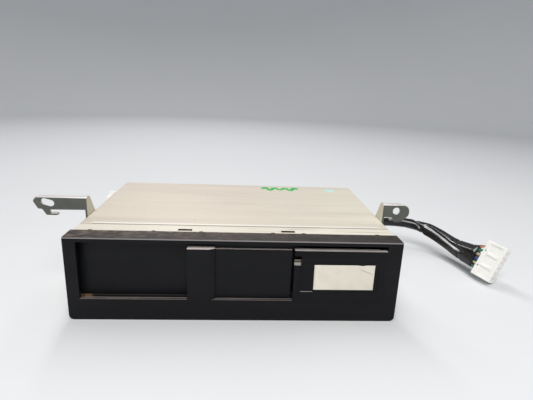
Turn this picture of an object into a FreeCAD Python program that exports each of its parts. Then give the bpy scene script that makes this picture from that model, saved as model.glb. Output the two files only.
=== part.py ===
import FreeCAD, Part
import math
import os
import re
import Sketcher

# Six-disc changer for a car boot: a steel case with a moulded front, a two-leaf
# sliding door, a magazine of six trays, and a lift that carries the playing unit
# to the height of a tray.  Millimetres; X to the right, Y to the back, Z up.
# The sizes below are counted from the middle of the front's face at floor level.
# Each finished piece is then moved forward by mid_depth, so that the origin is the
# middle of the case's underside.

Vector = FreeCAD.Vector
os.makedirs("parts", exist_ok=True)
doc = FreeCAD.newDocument("disc_changer")

SIZES = {
    # case and front
    "mid_depth": 84.0,
    "sheet": 1.0,
    "case_half": 123.0,
    "case_top": 65.1,
    "case_rear": 168.0,
    "skirt_low": 6.0,
    "front_half": 124.0,
    "front_top": 65.6,
    "front_depth": 16.2,
    "front_wall": 2.0,
    "front_skin": 2.5,
    "corner_round": 4.0,
    "edge_chamfer": 0.8,
    "window_left": -115.0,
    "window_right": 112.8,
    "window_low": 17.3,
    "window_high": 62.2,
    "hook_width": 2.2,
    "hook_gap": 0.4,
    "bead_half": 112.0,
    "bead_front": 31.6,
    "bead_width": 3.7,
    "bead_height": 0.35,
    "slot_long": 10.8,
    "slot_front": 19.6,
    "slot_rear": 23.4,
    # sliding door
    "leaf_front": 3.5,
    "leaf_back": 6.6,
    "rear_leaf_front": 8.0,
    "rear_leaf_back": 10.0,
    "tongue_top": 62.9,
    "leaf_low": 15.8,
    "grip_left": -36.0,
    "grip_right": -16.0,
    "grip_bevel": 4.0,
    "grip_proud": 1.2,
    "leaf_right": 41.4,
    "rear_leaf_left": -117.0,
    "rear_leaf_right": -24.0,
    "cover_left": 43.0,
    "cover_right": 112.8,
    "cover_proud": 0.6,
    "panel_top": 58.6,
    "leaf_gap": 0.3,
    # door gearing
    "tooth_module": 0.75,
    "small_teeth": 10,
    "large_teeth": 14,
    "backlash": 0.12,
    "pinion_place": -28.0,
    "pinion_height": 8.8,
    # magazine and trays
    "magazine_left": -113.5,
    "magazine_right": 14.5,
    "magazine_front": 19.0,
    "magazine_rear": 151.0,
    "magazine_floor": 18.4,
    "magazine_top": 56.0,
    "magazine_wall": 1.5,
    "tray_left": -111.5,
    "tray_right": 11.5,
    "tray_front": 22.0,
    "tray_rear": 148.0,
    "tray_first": 20.9,
    "tray_pitch": 5.6,
    "tray_thick": 3.2,
    "disc_place": -50.0,
    "disc_depth": 85.0,
    "disc_recess": 60.6,
    "tray_slot": 17.0,
    "tray_hole": 20.0,
    # playing unit, at the height of the top tray
    "play_place": 52.0,
    "carriage_low": 33.5,
    "deck_low": 39.4,
    "deck_thick": 1.2,
    "lift_travel": 28.0,
    "pin_height": 37.0,
    "pin_radius": 1.5,
    "pin_first": 54.0,
    "pin_second": 87.0,
    "guide_width": 3.3,
    "shaft_place": 18.0,
    "shaft_height": 6.0,
    "running_gap": 0.06,
    "puller_rod": 154.8,
    "puller_line": 158.4,
    "puller_height": 47.0,
    "puller_radius": 1.25,
    "clamp_axis": 116.8,
    "clamp_height": 57.5,
    # mounting ears
    "bracket_sheet": 1.6,
    "ear_face": 49.4,
    "ear_top": 80.9,
    "ear_fold": 5.0,
    "foot_low": 65.1,
    "left_slot_place": -154.0,
    "left_slot_height": 76.2,
    "left_slot_radius": 2.7,
    "left_slot_half": 2.6,
    "right_hole_place": 134.6,
    "right_hole_height": 75.3,
    "right_hole_radius": 3.1,
    # wiring
    "cable_depth": 155.5,
    "cable_height": 28.0,
    "cable_radius": 4.4,
    "wire_radius": 0.75,
    "plug_wide": 35.5,
    "plug_long": 18.4,
    "plug_thick": 12.0,
    "plug_corner_x": 224.85,
    "plug_corner_y": 73.68,
    "plug_corner_z": 7.73,
    "cell_first": 4.4,
    "cell_pitch": 5.25,
    "cell_side": 2.6,
}

sheet = doc.addObject("Spreadsheet::Sheet", "Sizes")
for row, (word, amount) in enumerate(SIZES.items(), start=1):
    sheet.set(f"A{row}", word)
    sheet.set(f"B{row}", str(amount))
    sheet.setAlias(f"B{row}", word)
doc.recompute()

nodes = []
depth_of = {}


def bound(text):
    """Point the words of an expression at the sheet's cells."""
    def cell(match):
        word = match.group(0)
        return f"Sizes.{word}" if word in SIZES else word
    return re.sub(r"[a-z][a-z_]*", cell, str(text))


def place(solid, x, y, z):
    """Bind a solid's position to three expressions."""
    depth_of[solid.Name] = y
    for axis, text in zip("xyz", (x, y, z)):
        solid.setExpression(f"Placement.Base.{axis}", bound(text))


def box(x, y, z):
    """A block between pairs of limits along X, Y and Z."""
    solid = doc.addObject("Part::Box", "Block")
    for size, (low, high) in zip(("Length", "Width", "Height"), (x, y, z)):
        solid.setExpression(size, bound(f"({high}) - ({low})"))
    place(solid, x[0], y[0], z[0])
    return solid


TURNS = {
    "z": FreeCAD.Rotation(),
    "y": FreeCAD.Rotation(Vector(1, 0, 0), -90),
    "x": FreeCAD.Rotation(Vector(0, 1, 0), 90),
}


def rod(axis, centre, along, radius):
    """A cylinder along an axis; centre gives the two other coordinates in X, Y, Z order."""
    solid = doc.addObject("Part::Cylinder", "Rod")
    solid.Placement = FreeCAD.Placement(Vector(), TURNS[axis])
    solid.setExpression("Radius", bound(radius))
    solid.setExpression("Height", bound(f"({along[1]}) - ({along[0]})"))
    first, second = centre
    corner = {"x": (along[0], first, second),
              "y": (first, along[0], second),
              "z": (first, second, along[0])}[axis]
    place(solid, *corner)
    return solid


def fuse(*solids):
    """One solid out of several."""
    if len(solids) == 1:
        return solids[0]
    result = doc.addObject("Part::MultiFuse", "Union")
    result.Shapes = list(solids)
    result.Refine = True
    return result


def cut(base, *tools):
    """A solid with tools taken away."""
    result = doc.addObject("Part::Cut", "Remainder")
    result.Base = base
    result.Tool = fuse(*tools)
    result.Refine = True
    return result


def group(*solids):
    """Separate solids kept in one piece's file."""
    result = doc.addObject("Part::Compound", "Group")
    result.Links = list(solids)
    return result


def fillet(base, radius, chosen):
    """Round the edges for which chosen(edge) is true."""
    doc.recompute()
    result = doc.addObject("Part::Fillet", "Rounded")
    result.Base = base
    edges = enumerate(base.Shape.Edges, start=1)
    result.Edges = [(number, radius, radius) for number, edge in edges if chosen(edge)]
    return result


def keep(solid, label):
    """Name a finished piece and move it so that the case's middle is the origin."""
    solid.Label = label
    own_depth = depth_of.get(solid.Name, "0")
    solid.setExpression("Placement.Base.y", bound(f"({own_depth}) - mid_depth"))
    nodes.append(solid)


def feature(shape):
    """A document object that holds a shape worked out here."""
    solid = doc.addObject("Part::Feature", "Formed")
    solid.Shape = shape
    return solid


# ---- sketches and bodies ----

def origin_plane(body, role):
    """One of a body's own three origin planes."""
    return next(item for item in body.Origin.OriginFeatures if item.Role == role)


def sketch_on(body, role, height="0"):
    """A sketch on an origin plane of the body, lifted off it by height."""
    drawing = body.newObject("Sketcher::SketchObject", "Outline")
    drawing.AttachmentSupport = [(origin_plane(body, role), "")]
    drawing.MapMode = "FlatFace"
    drawing.setExpression("AttachmentOffset.Base.z", bound(height))
    return drawing


def pin_point(drawing, line, end, across, up):
    """Hold a point of the sketch at two bound distances from the origin."""
    for kind, text in (("DistanceX", across), ("DistanceY", up)):
        number = drawing.addConstraint(Sketcher.Constraint(kind, -1, 1, line, end, 1.0))
        drawing.setExpression(f"Constraints[{number}]", bound(text))


def polygon(drawing, corners):
    """A closed outline whose every corner is bound to the sheet."""
    count = len(corners)
    rough = [Vector(10 * math.cos(2 * math.pi * k / count), 10 * math.sin(2 * math.pi * k / count), 0)
             for k in range(count)]
    first = drawing.GeometryCount
    for k in range(count):
        drawing.addGeometry(Part.LineSegment(rough[k], rough[(k + 1) % count]))
    for k in range(count):
        following = first + (k + 1) % count
        drawing.addConstraint(Sketcher.Constraint("Coincident", first + k, 2, following, 1))
    for k, (across, up) in enumerate(corners):
        pin_point(drawing, first + k, 1, across, up)


def rectangle(drawing, across, up):
    """A rectangle between two pairs of limits."""
    polygon(drawing, [(across[0], up[0]), (across[1], up[0]), (across[1], up[1]), (across[0], up[1])])


def circle(drawing, across, up, radius):
    """A circle bound in place and size."""
    number = drawing.addGeometry(Part.Circle(Vector(1, 1, 0), Vector(0, 0, 1), 1))
    pin_point(drawing, number, 3, across, up)
    size = drawing.addConstraint(Sketcher.Constraint("Radius", number, 1.0))
    drawing.setExpression(f"Constraints[{size}]", bound(radius))


def pad(body, drawing, length, reverse=False):
    """Raise a sketch into a solid."""
    result = body.newObject("PartDesign::Pad", "Pad")
    result.Profile = drawing
    result.setExpression("Length", bound(length))
    result.Reversed = reverse
    return result


def pocket(body, drawing, length, reverse=False):
    """Sink a sketch into the solid, and make sure that it took something away."""
    doc.recompute()
    before = body.Shape.Volume
    result = body.newObject("PartDesign::Pocket", "Pocket")
    result.Profile = drawing
    result.setExpression("Length", bound(length))
    result.Reversed = reverse
    doc.recompute()
    if body.Shape.Volume > before - 0.01:
        raise RuntimeError(f"a pocket of {body.Label} cuts nothing")
    return result


def turned(profile, centre):
    """A body of revolution about an upright axis: profile lists (radius, height) pairs."""
    body = doc.addObject("PartDesign::Body", "Turned")
    drawing = sketch_on(body, "XZ_Plane")
    polygon(drawing, profile)
    result = body.newObject("PartDesign::Revolution", "Revolution")
    result.Profile = drawing
    result.ReferenceAxis = (drawing, ["V_Axis"])
    result.Angle = 360
    place(body, *centre)
    return body


# ---- gearing ----

PRESSURE = math.radians(20)
MODULE = SIZES["tooth_module"]
PITCH = math.pi * MODULE
RACK_TIP = 0.55 * MODULE
GEAR_TIP = 0.8 * MODULE
ROOT_GAP = 0.2 * MODULE
SMALL_RADIUS = MODULE * SIZES["small_teeth"] / 2
LARGE_RADIUS = MODULE * SIZES["large_teeth"] / 2


def involute(ratio):
    """The involute function of the angle whose secant is ratio."""
    tangent = math.sqrt(max(ratio * ratio - 1, 0))
    return tangent - math.atan(tangent)


def gear_shape(teeth, module, width, first_angle, rack_tip=RACK_TIP):
    """A spur gear about Z from 0 to width, with one tooth centred on first_angle (degrees)."""
    pitch_radius = module * teeth / 2
    base = pitch_radius * math.cos(PRESSURE)
    tip = pitch_radius + 0.8 * module
    root = pitch_radius - rack_tip - 0.2 * module
    half = (math.pi * module / 2 - SIZES["backlash"] / 2) / 2 / pitch_radius
    low = max(base, root)
    radii = [low + (tip - low) * step / 3 for step in range(4)]
    spread = [half + involute(pitch_radius / base) - involute(radius / base) for radius in radii]
    points = []
    for tooth in range(teeth):
        middle = math.radians(first_angle) + 2 * math.pi * tooth / teeth
        flank = [(root, spread[0])] + list(zip(radii, spread))
        points += [(radius, middle - angle) for radius, angle in flank]
        points += [(radius, middle + angle) for radius, angle in reversed(flank)]
    corners = [Vector(radius * math.cos(angle), radius * math.sin(angle), 0) for radius, angle in points]
    outline = Part.makePolygon(corners + corners[:1])
    return Part.Face(outline).extrude(Vector(0, 0, width))


def toward_back(shape, x, y, z):
    """Lay a shape made about Z along Y, its foot at a point."""
    result = shape.copy()
    result.Placement = FreeCAD.Placement(Vector(x, y, z), FreeCAD.Rotation(Vector(1, 0, 0), -90))
    return result


def rack_shape(limits, gap_place, pitch_line, back, depth, facing):
    """Straight teeth along X; a gap lies at gap_place, facing is 1 for teeth up, -1 for down."""
    low, high = limits
    tip_half = (PITCH / 2 - SIZES["backlash"] / 2) / 2 - RACK_TIP * math.tan(PRESSURE)
    root_depth = GEAR_TIP + ROOT_GAP
    root_half = tip_half + (RACK_TIP + root_depth) * math.tan(PRESSURE)
    tip_line = pitch_line + facing * RACK_TIP
    root_line = pitch_line - facing * root_depth
    points = [(low, back), (low, root_line)]
    number = math.ceil((low + root_half - gap_place) / PITCH - 0.5)
    middle = gap_place + (number + 0.5) * PITCH
    while middle + root_half < high:
        points += [(middle - root_half, root_line), (middle - tip_half, tip_line)]
        points += [(middle + tip_half, tip_line), (middle + root_half, root_line)]
        middle += PITCH
    points += [(high, root_line), (high, back)]
    corners = [Vector(x, depth[0], z) for x, z in points]
    outline = Part.makePolygon(corners + corners[:1])
    return Part.Face(outline).extrude(Vector(0, depth[1] - depth[0], 0))


# ---- case ----

def make_chassis():
    """The folded lower case: floor, side walls, rear wall and a front wall with its mouth."""
    inner = "case_half - sheet"
    floor = box((f"-({inner})", inner), ("front_depth", "case_rear - sheet"), ("0", "sheet"))
    left = box((f"-({inner})", f"sheet - ({inner})"), ("front_depth", "case_rear - sheet"), ("0", "63.5"))
    right = box((f"{inner} - sheet", inner), ("front_depth", "case_rear - sheet"), ("0", "63.5"))
    rear = box((f"-({inner})", inner), ("case_rear - 2 * sheet", "case_rear - sheet"), ("0", "63.5"))
    front = box((f"-({inner})", inner), ("front_depth", "front_depth + sheet"), ("0", "63.5"))
    posts = [rod("z", (x, y), ("sheet / 2", "6"), "2.6") for x, y in BOARD_POSTS]
    mouth = box(("window_left - 0.6", "21.9"), ("front_depth - 1", "front_depth + 2"), ("17", "58.4"))
    cable = rod("x", ("cable_depth", "cable_height"), ("case_half - 3", "case_half"), "6.6")
    bores = [rod("z", (x, y), ("sheet", "7"), "1.1") for x, y in BOARD_POSTS]
    openings = [mouth, cable, *bores, *side_bores(), *rear_bores()]
    keep(cut(fuse(floor, left, right, rear, front, *posts), *openings),
         "bottom_chassis")


BOARD_POSTS = [(-106, 30), (6, 30), (-106, 154), (6, 145)]
SIDE_SCREWS = [(56, 24), (66, 48), (146, 48)]
REAR_SCREWS = [-100, 100]


def side_bores():
    """Clearance of the side screws through every sheet they pass."""
    return [rod("x", (y, z), (low, high), "pin_radius")
            for y, z in SIDE_SCREWS
            for low, high in (("-case_half - 3", "-case_half + 4"), ("case_half - 4", "case_half + 3"))]


def rear_bores():
    """Clearance of the screws through the rear."""
    return [rod("y", (x, "56"), ("case_rear - 4", "case_rear + 1"), "pin_radius") for x in REAR_SCREWS]


HOOK_PLACES = [-110.3, -63.3, -27.4, 27.4, 51.2, 109.2]


def make_cover():
    """The upper case: a lid with skirts down both sides and the back, slots and a bead."""
    lid = box(("-case_half", "case_half"), ("front_depth", "case_rear"), ("case_top - sheet", "case_top"))
    left = box(("-case_half", "sheet - case_half"), ("front_depth", "case_rear"), ("skirt_low", "case_top"))
    right = box(("case_half - sheet", "case_half"), ("front_depth", "case_rear"), ("skirt_low", "case_top"))
    rear = box(("-case_half", "case_half"), ("case_rear - sheet", "case_rear"), ("skirt_low", "case_top"))
    folded = fillet(fuse(lid, left, right, rear), 0.9, outer_fold)
    raised = ("case_top - sheet / 2", "case_top + bead_height")
    bead = box(("-bead_half", "bead_half"), ("bead_front", "bead_front + bead_width"), raised)
    bead_end = [rod("z", (x, "bead_front + bead_width / 2"), raised, "bead_width / 2")
                for x in ("-bead_half", "bead_half")]
    through = ("case_top - 2", "case_top + 1")
    slots = [box((x, f"{x} + slot_long"), ("slot_front", "slot_rear"), through) for x in (-45.4, 34.1)]
    half_notch = "hook_width / 2 + hook_gap"
    notches = [box((f"{x} - ({half_notch})", f"{x} + {half_notch}"),
                   ("front_depth - 1", "front_depth + 2.2 + hook_gap"), through)
               for x in HOOK_PLACES]
    cable = rod("x", ("cable_depth", "cable_height"), ("case_half - 2", "case_half + 1"), "6.6")
    openings = [cable, *slots, *notches, *side_bores(), *rear_bores()]
    keep(cut(fuse(folded, bead, *bead_end), *openings), "top_cover")


def outer_fold(edge):
    """The three folds round the lid's outside."""
    box_of = edge.BoundBox
    top = SIZES["case_top"]
    along_side = box_of.YLength > 100 and abs(abs(box_of.XMin) - SIZES["case_half"]) < 0.01
    along_rear = box_of.XLength > 100 and abs(box_of.YMin - SIZES["case_rear"]) < 0.01
    return abs(box_of.ZMin - top) < 0.01 and abs(box_of.ZMax - top) < 0.01 and (along_side or along_rear)


def make_screws():
    """Pan-head screws: three a side and two at the back, through both sheets."""
    screws = []
    for y, z in SIDE_SCREWS:
        stand = "bracket_sheet" if y < 100 else "0"
        for sign in (-1, 1):
            near = f"case_half + {stand}"
            head = (near, f"{near} + 1.8")
            shank = ("case_half - 3.6", f"{near} + 0.5")
            if sign < 0:
                head = (f"-({head[1]})", f"-({head[0]})")
                shank = (f"-({shank[1]})", f"-({shank[0]})")
            cross = "+".join(("1.8", near))
            slot = (f"{cross} - 0.7", f"{cross} + 0.2")
            if sign < 0:
                slot = (f"-({slot[1]})", f"-({slot[0]})")
            bars = [box(slot, (y - 1.6, y + 1.6), (z - 0.35, z + 0.35)),
                    box(slot, (y - 0.35, y + 0.35), (z - 1.6, z + 1.6))]
            solid = fuse(rod("x", (y, z), head, "3"), rod("x", (y, z), shank, "pin_radius"))
            screws.append(cut(solid, *bars))
    for x in REAR_SCREWS:
        head = rod("y", (x, "56"), ("case_rear", "case_rear + 1.8"), "3")
        shank = rod("y", (x, "56"), ("case_rear - 4", "case_rear + 0.5"), "pin_radius")
        bars = [box((x - 1.6, x + 1.6), ("case_rear + 1.1", "case_rear + 2"), ("55.65", "56.35")),
                box((x - 0.35, x + 0.35), ("case_rear + 1.1", "case_rear + 2"), ("54.4", "57.6"))]
        screws.append(cut(fuse(head, shank), *bars))
    keep(group(*screws), "case_screws")


# ---- front ----

def make_front():
    """The moulded front: a shell with rounded lower corners, a window and hooks for the lid."""
    body = doc.addObject("PartDesign::Body", "Front")
    outline = sketch_on(body, "XZ_Plane")
    rectangle(outline, ("-front_half", "front_half"), ("0", "front_top"))
    block = pad(body, outline, "front_depth", reverse=True)
    doc.recompute()
    rounded = body.newObject("PartDesign::Fillet", "Corners")
    low = [f"Edge{k}" for k, edge in enumerate(block.Shape.Edges, start=1)
           if edge.BoundBox.YLength > 10 and edge.BoundBox.ZMax < 0.01]
    rounded.Base = (block, low)
    rounded.setExpression("Radius", bound("corner_round"))
    doc.recompute()
    bevel = body.newObject("PartDesign::Chamfer", "FrontEdge")
    top = [f"Edge{k}" for k, edge in enumerate(rounded.Shape.Edges, start=1)
           if edge.BoundBox.XLength > 200 and edge.BoundBox.YMax < 0.01 and edge.BoundBox.ZMin > 60]
    bevel.Base = (rounded, top)
    bevel.setExpression("Size", bound("edge_chamfer"))
    hollow = sketch_on(body, "XZ_Plane", "-front_depth")
    rectangle(hollow, ("front_wall - front_half", "front_half - front_wall"),
              ("front_wall", "front_top - front_wall"))
    pocket(body, hollow, "front_depth - front_skin", reverse=True)
    window = sketch_on(body, "XZ_Plane")
    rectangle(window, ("window_left", "window_right"), ("window_low", "window_high"))
    pocket(body, window, "front_skin + 1")
    hooks = sketch_on(body, "XY_Plane", "front_top - front_wall")
    for x in HOOK_PLACES:
        rectangle(hooks, (f"{x} - hook_width / 2", f"{x} + hook_width / 2"),
                  ("front_depth - 1", "front_depth + 2.2"))
    pad(body, hooks, "1.3")
    keep(body, "front_bezel")


def make_cover_panel():
    """The panel that hides the open door's leaves: a skin, a top flange and a stepped notch."""
    skin = box(("cover_left", "cover_right"), ("-cover_proud", "0"), ("15.9", "panel_top"))
    wall = box(("cover_left", "cover_right"), ("0", "2"), ("window_low", "panel_top"))
    ledge = box(("cover_left", "cover_right"), ("0", "leaf_front + 1.9"), ("panel_top - 1", "panel_top"))
    notch = box(("cover_left - 1", "cover_left + 4.9"), ("-cover_proud - 1", "3"), ("47", "54"))
    corner = box(("cover_right - 5", "cover_right + 1"), ("3.4", "leaf_front + 3"),
                 ("panel_top - 2", "panel_top + 1"))
    recess = box(("48.5", "107.2"), ("-cover_proud - 1", "-cover_proud + 0.25"), ("25.4", "49.2"))
    steps = [box(("cover_left", "cover_left + 5"), ("0.9", "2"), ("49.3", "50.7")),
             box(("cover_left", "cover_left + 5"), ("0.2", "2"), ("47", "48.4"))]
    keep(fuse(cut(fuse(skin, wall, ledge), notch, corner, recess), *steps), "fixed_cover_panel")


def make_label():
    """A blank paper label stuck a little askew in the panel's recess."""
    paper = box(("57.9", "104.2"), ("-0.5", "0.25 - cover_proud"), ("26.7", "47.6"))
    keep(paper, "paper_label")


def make_track():
    """The sill: two grooves that carry the leaves, open below where the pinion runs."""
    block = box(("0.2 - front_half + front_wall", "front_half - front_wall - 0.2"),
                ("front_skin", "front_depth - 0.4"), ("11.5", "window_low"))
    front_groove = box(("-120", "120"), ("leaf_front - leaf_gap", "leaf_back + leaf_gap"),
                       ("leaf_low - 0.4", "window_low + 1"))
    rear_groove = box(("-120", "120"), ("rear_leaf_front - leaf_gap", "rear_leaf_back + leaf_gap"),
                      ("13.2", "window_low + 1"))
    front_slot = box(("-37", "42"), ("leaf_front - leaf_gap", "leaf_back + leaf_gap"), ("11", "window_low"))
    rear_slot = box(("-37", "42"), ("rear_leaf_front - leaf_gap", "13"), ("11", "13.7"))
    rear_slit = box(("-37", "42"), ("rear_leaf_front - leaf_gap", "rear_leaf_back + leaf_gap"),
                    ("11", "window_low"))
    lip = box(("-120", "120"), ("front_skin - 1", "leaf_front - leaf_gap"), ("11.4", "12.5"))
    keep(cut(block, front_groove, rear_groove, front_slot, rear_slot, rear_slit, lip), "door_track")


def make_top_guide():
    """The rail behind the lintel whose two grooves hold the leaves' tongues."""
    block = box(("0.2 - front_half + front_wall", "front_half - front_wall - 0.2"),
                ("4.4", "12"), ("60.4", "front_top - front_wall"))
    front_groove = box(("-121", "121"), ("leaf_back - 1.2", "leaf_back + leaf_gap"),
                       ("60", "tongue_top + 0.3"))
    rear_groove = box(("-121", "121"), ("rear_leaf_front - leaf_gap", "rear_leaf_back + leaf_gap"),
                      ("60", "tongue_top + 0.3"))
    keep(cut(block, front_groove, rear_groove), "door_top_guide")


def make_front_leaf():
    """The front leaf: a grip with a bevelled edge, a set-back panel, and a foot with the pinion's pin."""
    plate = box(("grip_left", "leaf_right"), ("leaf_front", "leaf_back - 0.9"),
                ("leaf_low", "panel_top - 1.3"))
    tongue = box(("grip_left", "leaf_right"), ("leaf_back - 0.9", "leaf_back"), ("leaf_low", "tongue_top"))
    grip = box(("grip_left", "grip_right"), ("-leaf_gap", "leaf_front"), ("window_low + 0.5", "panel_top"))
    skin = box(("grip_left", "grip_right"), ("-grip_proud", "-leaf_gap"), ("15.6", "panel_top"))
    crown = box(("grip_left", "grip_right"), ("leaf_front", "leaf_back - 0.9"),
                ("panel_top - 3", "panel_top"))
    foot = box(("grip_left + 2", "-20"), ("leaf_front + 0.5", "leaf_back"), ("4.6", "leaf_low"))
    pin = rod("y", ("pinion_place", "pinion_height"), ("leaf_back - 1", "13.4"), "1.2")
    edge = cut(fuse(grip, skin), bevel_tool())
    keep(fuse(plate, tongue, edge, crown, foot, pin), "front_door_leaf")


def bevel_tool():
    """A slanting prism that takes the grip's right front edge away."""
    body = doc.addObject("PartDesign::Body", "BevelTool")
    drawing = sketch_on(body, "XY_Plane", "14")
    polygon(drawing, [("grip_right - grip_bevel", "-grip_proud - 0.01"),
                      ("grip_right + 1", "-grip_proud - 0.01"),
                      ("grip_right + 1", "1.3"), ("grip_right", "0.9")])
    pad(body, drawing, "50")
    return body


def make_rear_leaf():
    """The rear leaf: a plain panel with rack teeth along its lower edge."""
    pitch_line = SIZES["pinion_height"] + LARGE_RADIUS
    plate = box(("rear_leaf_left", "rear_leaf_right"), ("rear_leaf_front", "rear_leaf_back"),
                ("17", "tongue_top"))
    teeth = feature(rack_shape((SIZES["rear_leaf_left"], SIZES["rear_leaf_right"]), SIZES["pinion_place"],
                               pitch_line, 17.5, (SIZES["rear_leaf_front"], SIZES["rear_leaf_back"]), -1))
    groove = box(("rear_leaf_left + 6", "rear_leaf_right - 8"),
                 ("rear_leaf_back - 0.6", "rear_leaf_back + 1"), ("22", "56"))
    keep(cut(fuse(plate, teeth), groove), "rear_door_leaf")


def make_door_rack():
    """The fixed rack on the front's floor, which turns the pinion as the leaf slides."""
    pitch_line = SIZES["pinion_height"] - SMALL_RADIUS
    rack = rack_shape((-37, 42), SIZES["pinion_place"], pitch_line, SIZES["front_wall"], (10.4, 13), 1)
    keep(feature(rack), "door_rack")


def make_door_pinion():
    """The two-step pinion: its small wheel rolls on the fixed rack, its large one drives the rear leaf."""
    x = SIZES["pinion_place"]
    z = SIZES["pinion_height"]
    # laid along Y, an angle of +90 degrees in the gear's own plane points down
    large = toward_back(gear_shape(SIZES["large_teeth"], MODULE, 1.8, -90), x, 8.1, z)
    small = toward_back(gear_shape(SIZES["small_teeth"], MODULE, 2.7, 90), x, 9.9, z)
    hub = feature(large.fuse(small).removeSplitter())
    collar = rod("y", ("pinion_place", "pinion_height"), ("7", "8.2"), "2.4")
    bore = rod("y", ("pinion_place", "pinion_height"), ("6", "14"), "1.2 + running_gap")
    keep(cut(fuse(hub, collar), bore), "door_pinion")


# ---- mounting ears ----

def make_bracket(label, side, arm, rounds, roof_end, hole, lip):
    """A pressed ear: a flange down the case's side, an arm that faces the front, and along the
    arm's top a fold to the back.  rounds gives the radius at each rounded corner of the arm."""
    flange_body = doc.addObject("PartDesign::Body", "Flange")
    drawing = sketch_on(flange_body, "YZ_Plane", "case_half" if side > 0 else "-case_half - bracket_sheet")
    polygon(drawing, [("44", "16"), ("74", "16"), ("74", "58"), ("66.5", "66.3"), ("56.5", "ear_top"),
                      ("ear_face", "ear_top"), ("ear_face", "62"), ("44", "57")])
    pad(flange_body, drawing, "bracket_sheet")
    arm_body = doc.addObject("PartDesign::Body", "Arm")
    outline = sketch_on(arm_body, "XZ_Plane", "-ear_face")
    polygon(outline, arm)
    pad(arm_body, outline, "bracket_sheet", reverse=True)
    softened = arm_body
    for x, z, radius in rounds:
        softened = fillet(softened, radius, lambda edge: stands_at(edge, x, z))
    ends = ("case_half", roof_end) if side > 0 else (roof_end, "-case_half")
    roof = box(ends, ("ear_face", "ear_face + ear_fold"), ("ear_top - bracket_sheet", "ear_top"))
    pressed = fillet(fuse(flange_body, softened, roof, lip), 1.2, lambda edge: top_front_edge(edge, side))
    keep(cut(pressed, hole, *side_bores()), label)


def stands_at(edge, x, z):
    """Whether an edge runs front to back through the arm's corner at x, z."""
    limits = edge.BoundBox
    return limits.YLength > 1.5 and abs(limits.XMin - x) < 0.02 and abs(limits.ZMin - z) < 0.02


def top_front_edge(edge, side):
    """Whether an edge is the long fold along the top of the arm's face."""
    limits = edge.BoundBox
    along_top = limits.XLength > 12 and abs(limits.ZMin - SIZES["ear_top"]) < 0.02
    return along_top and limits.YMax < SIZES["ear_face"] + 0.02


def make_brackets():
    """The two ears, one with a round hole and a longer one with a slanting slot."""
    top = SIZES["ear_top"]
    foot = SIZES["foot_low"]
    right_arm = [("case_half", "69.7"), ("131.3", "69.7"), ("134", "foot_low"), ("139.2", "foot_low"),
                 ("146.2", "71.2"), ("146.2", "ear_top"), ("case_half", "ear_top")]
    right_rounds = [(131.3, 69.7, 1.2), (134, foot, 1.2), (139.2, foot, 1.5),
                    (146.2, 71.2, 5), (146.2, top, 6.2)]
    right_hole = rod("y", ("right_hole_place", "right_hole_height"), ("ear_face - 1", "ear_face + 3"),
                     "right_hole_radius")
    right_lip = box(("130.2", "134.4"), ("ear_face", "ear_face + 4.4"), ("66.4", "66.4 + bracket_sheet"))
    make_bracket("right_bracket", 1, right_arm, right_rounds, "139.5", right_hole, right_lip)
    left_arm = [("-case_half", "ear_top"), ("-163.4", "ear_top"), ("-166", "77"), ("-162.3", "70.3"),
                ("-159.3", "70.3"), ("-156", "foot_low"), ("-151.6", "foot_low"), ("-152.8", "70.1"),
                ("-case_half", "70.4")]
    left_rounds = [(-163.4, top, 3), (-166, 77, 1.8), (-162.3, 70.3, 2), (-159.3, 70.3, 1), (-156, foot, 1.2)]
    slot_ends = [rod("z", (x, "0"), ("0", "4"), "left_slot_radius")
                 for x in ("-left_slot_half", "left_slot_half")]
    slot_bar = box(("-left_slot_half", "left_slot_half"), ("-left_slot_radius", "left_slot_radius"),
                   ("0", "4"))
    slot = fuse(*slot_ends, slot_bar)
    slot.Placement = FreeCAD.Placement(Vector(), FreeCAD.Rotation(Vector(1, 0, 0), -90)
                                       * FreeCAD.Rotation(Vector(0, 0, 1), 15))
    place(slot, "left_slot_place", "ear_face - 1", "left_slot_height")
    left_lip = box(("-152.4", "-147.3"), ("ear_face", "ear_face + 4.4"),
                   ("foot_low", "foot_low + bracket_sheet"))
    make_bracket("left_bracket", -1, left_arm, left_rounds, "-161.5", slot, left_lip)


def make_side_lug():
    """A small plated lug folded out of the left side, wider to the back."""
    body = doc.addObject("PartDesign::Body", "Lug")
    drawing = sketch_on(body, "XY_Plane", "63.9")
    polygon(drawing, [("-case_half", "95"), ("-case_half", "130"), ("-129.9", "130"), ("-124.6", "101")])
    pad(body, drawing, "sheet")
    wall = box(("-case_half - sheet", "-case_half"), ("95", "130"), ("52", "64.5"))
    softened = fillet(body, 1.8, lambda edge: edge.BoundBox.ZLength > 0.5 and edge.BoundBox.XMax < -124)
    keep(fuse(softened, wall), "side_lug")


# ---- magazine ----

def tray_height(level):
    """The underside of a tray, the first being the lowest."""
    return f"tray_first + {level} * tray_pitch"


def make_bay():
    """The channel under the magazine, on legs, with a left wall and a rear flange."""
    floor = box(("-117", "-28"), ("17.8", "153.4"), ("17", "magazine_floor"))
    tongue = box(("-29", "15.5"), ("17.8", "151.4"), ("17", "magazine_floor"))
    wall = box(("-117", "-115.6"), ("17.8", "153.4"), ("sheet", "58"))
    rear = box(("-117", "-28"), ("152", "153.4"), ("17", "40"))
    legs = [box(("14.1", "15.5"), span, ("sheet", "17.5")) for span in (("26", "40"), ("104", "148"))]
    stud = rod("z", ("10", "66"), ("9.6", "17.5"), "pin_radius")
    slit = box(("9.4", "16"), ("49", "56.4"), ("16", "magazine_floor + 1"))
    keep(cut(fuse(floor, tongue, wall, rear, *legs, stud), slit), "magazine_bay")


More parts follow.
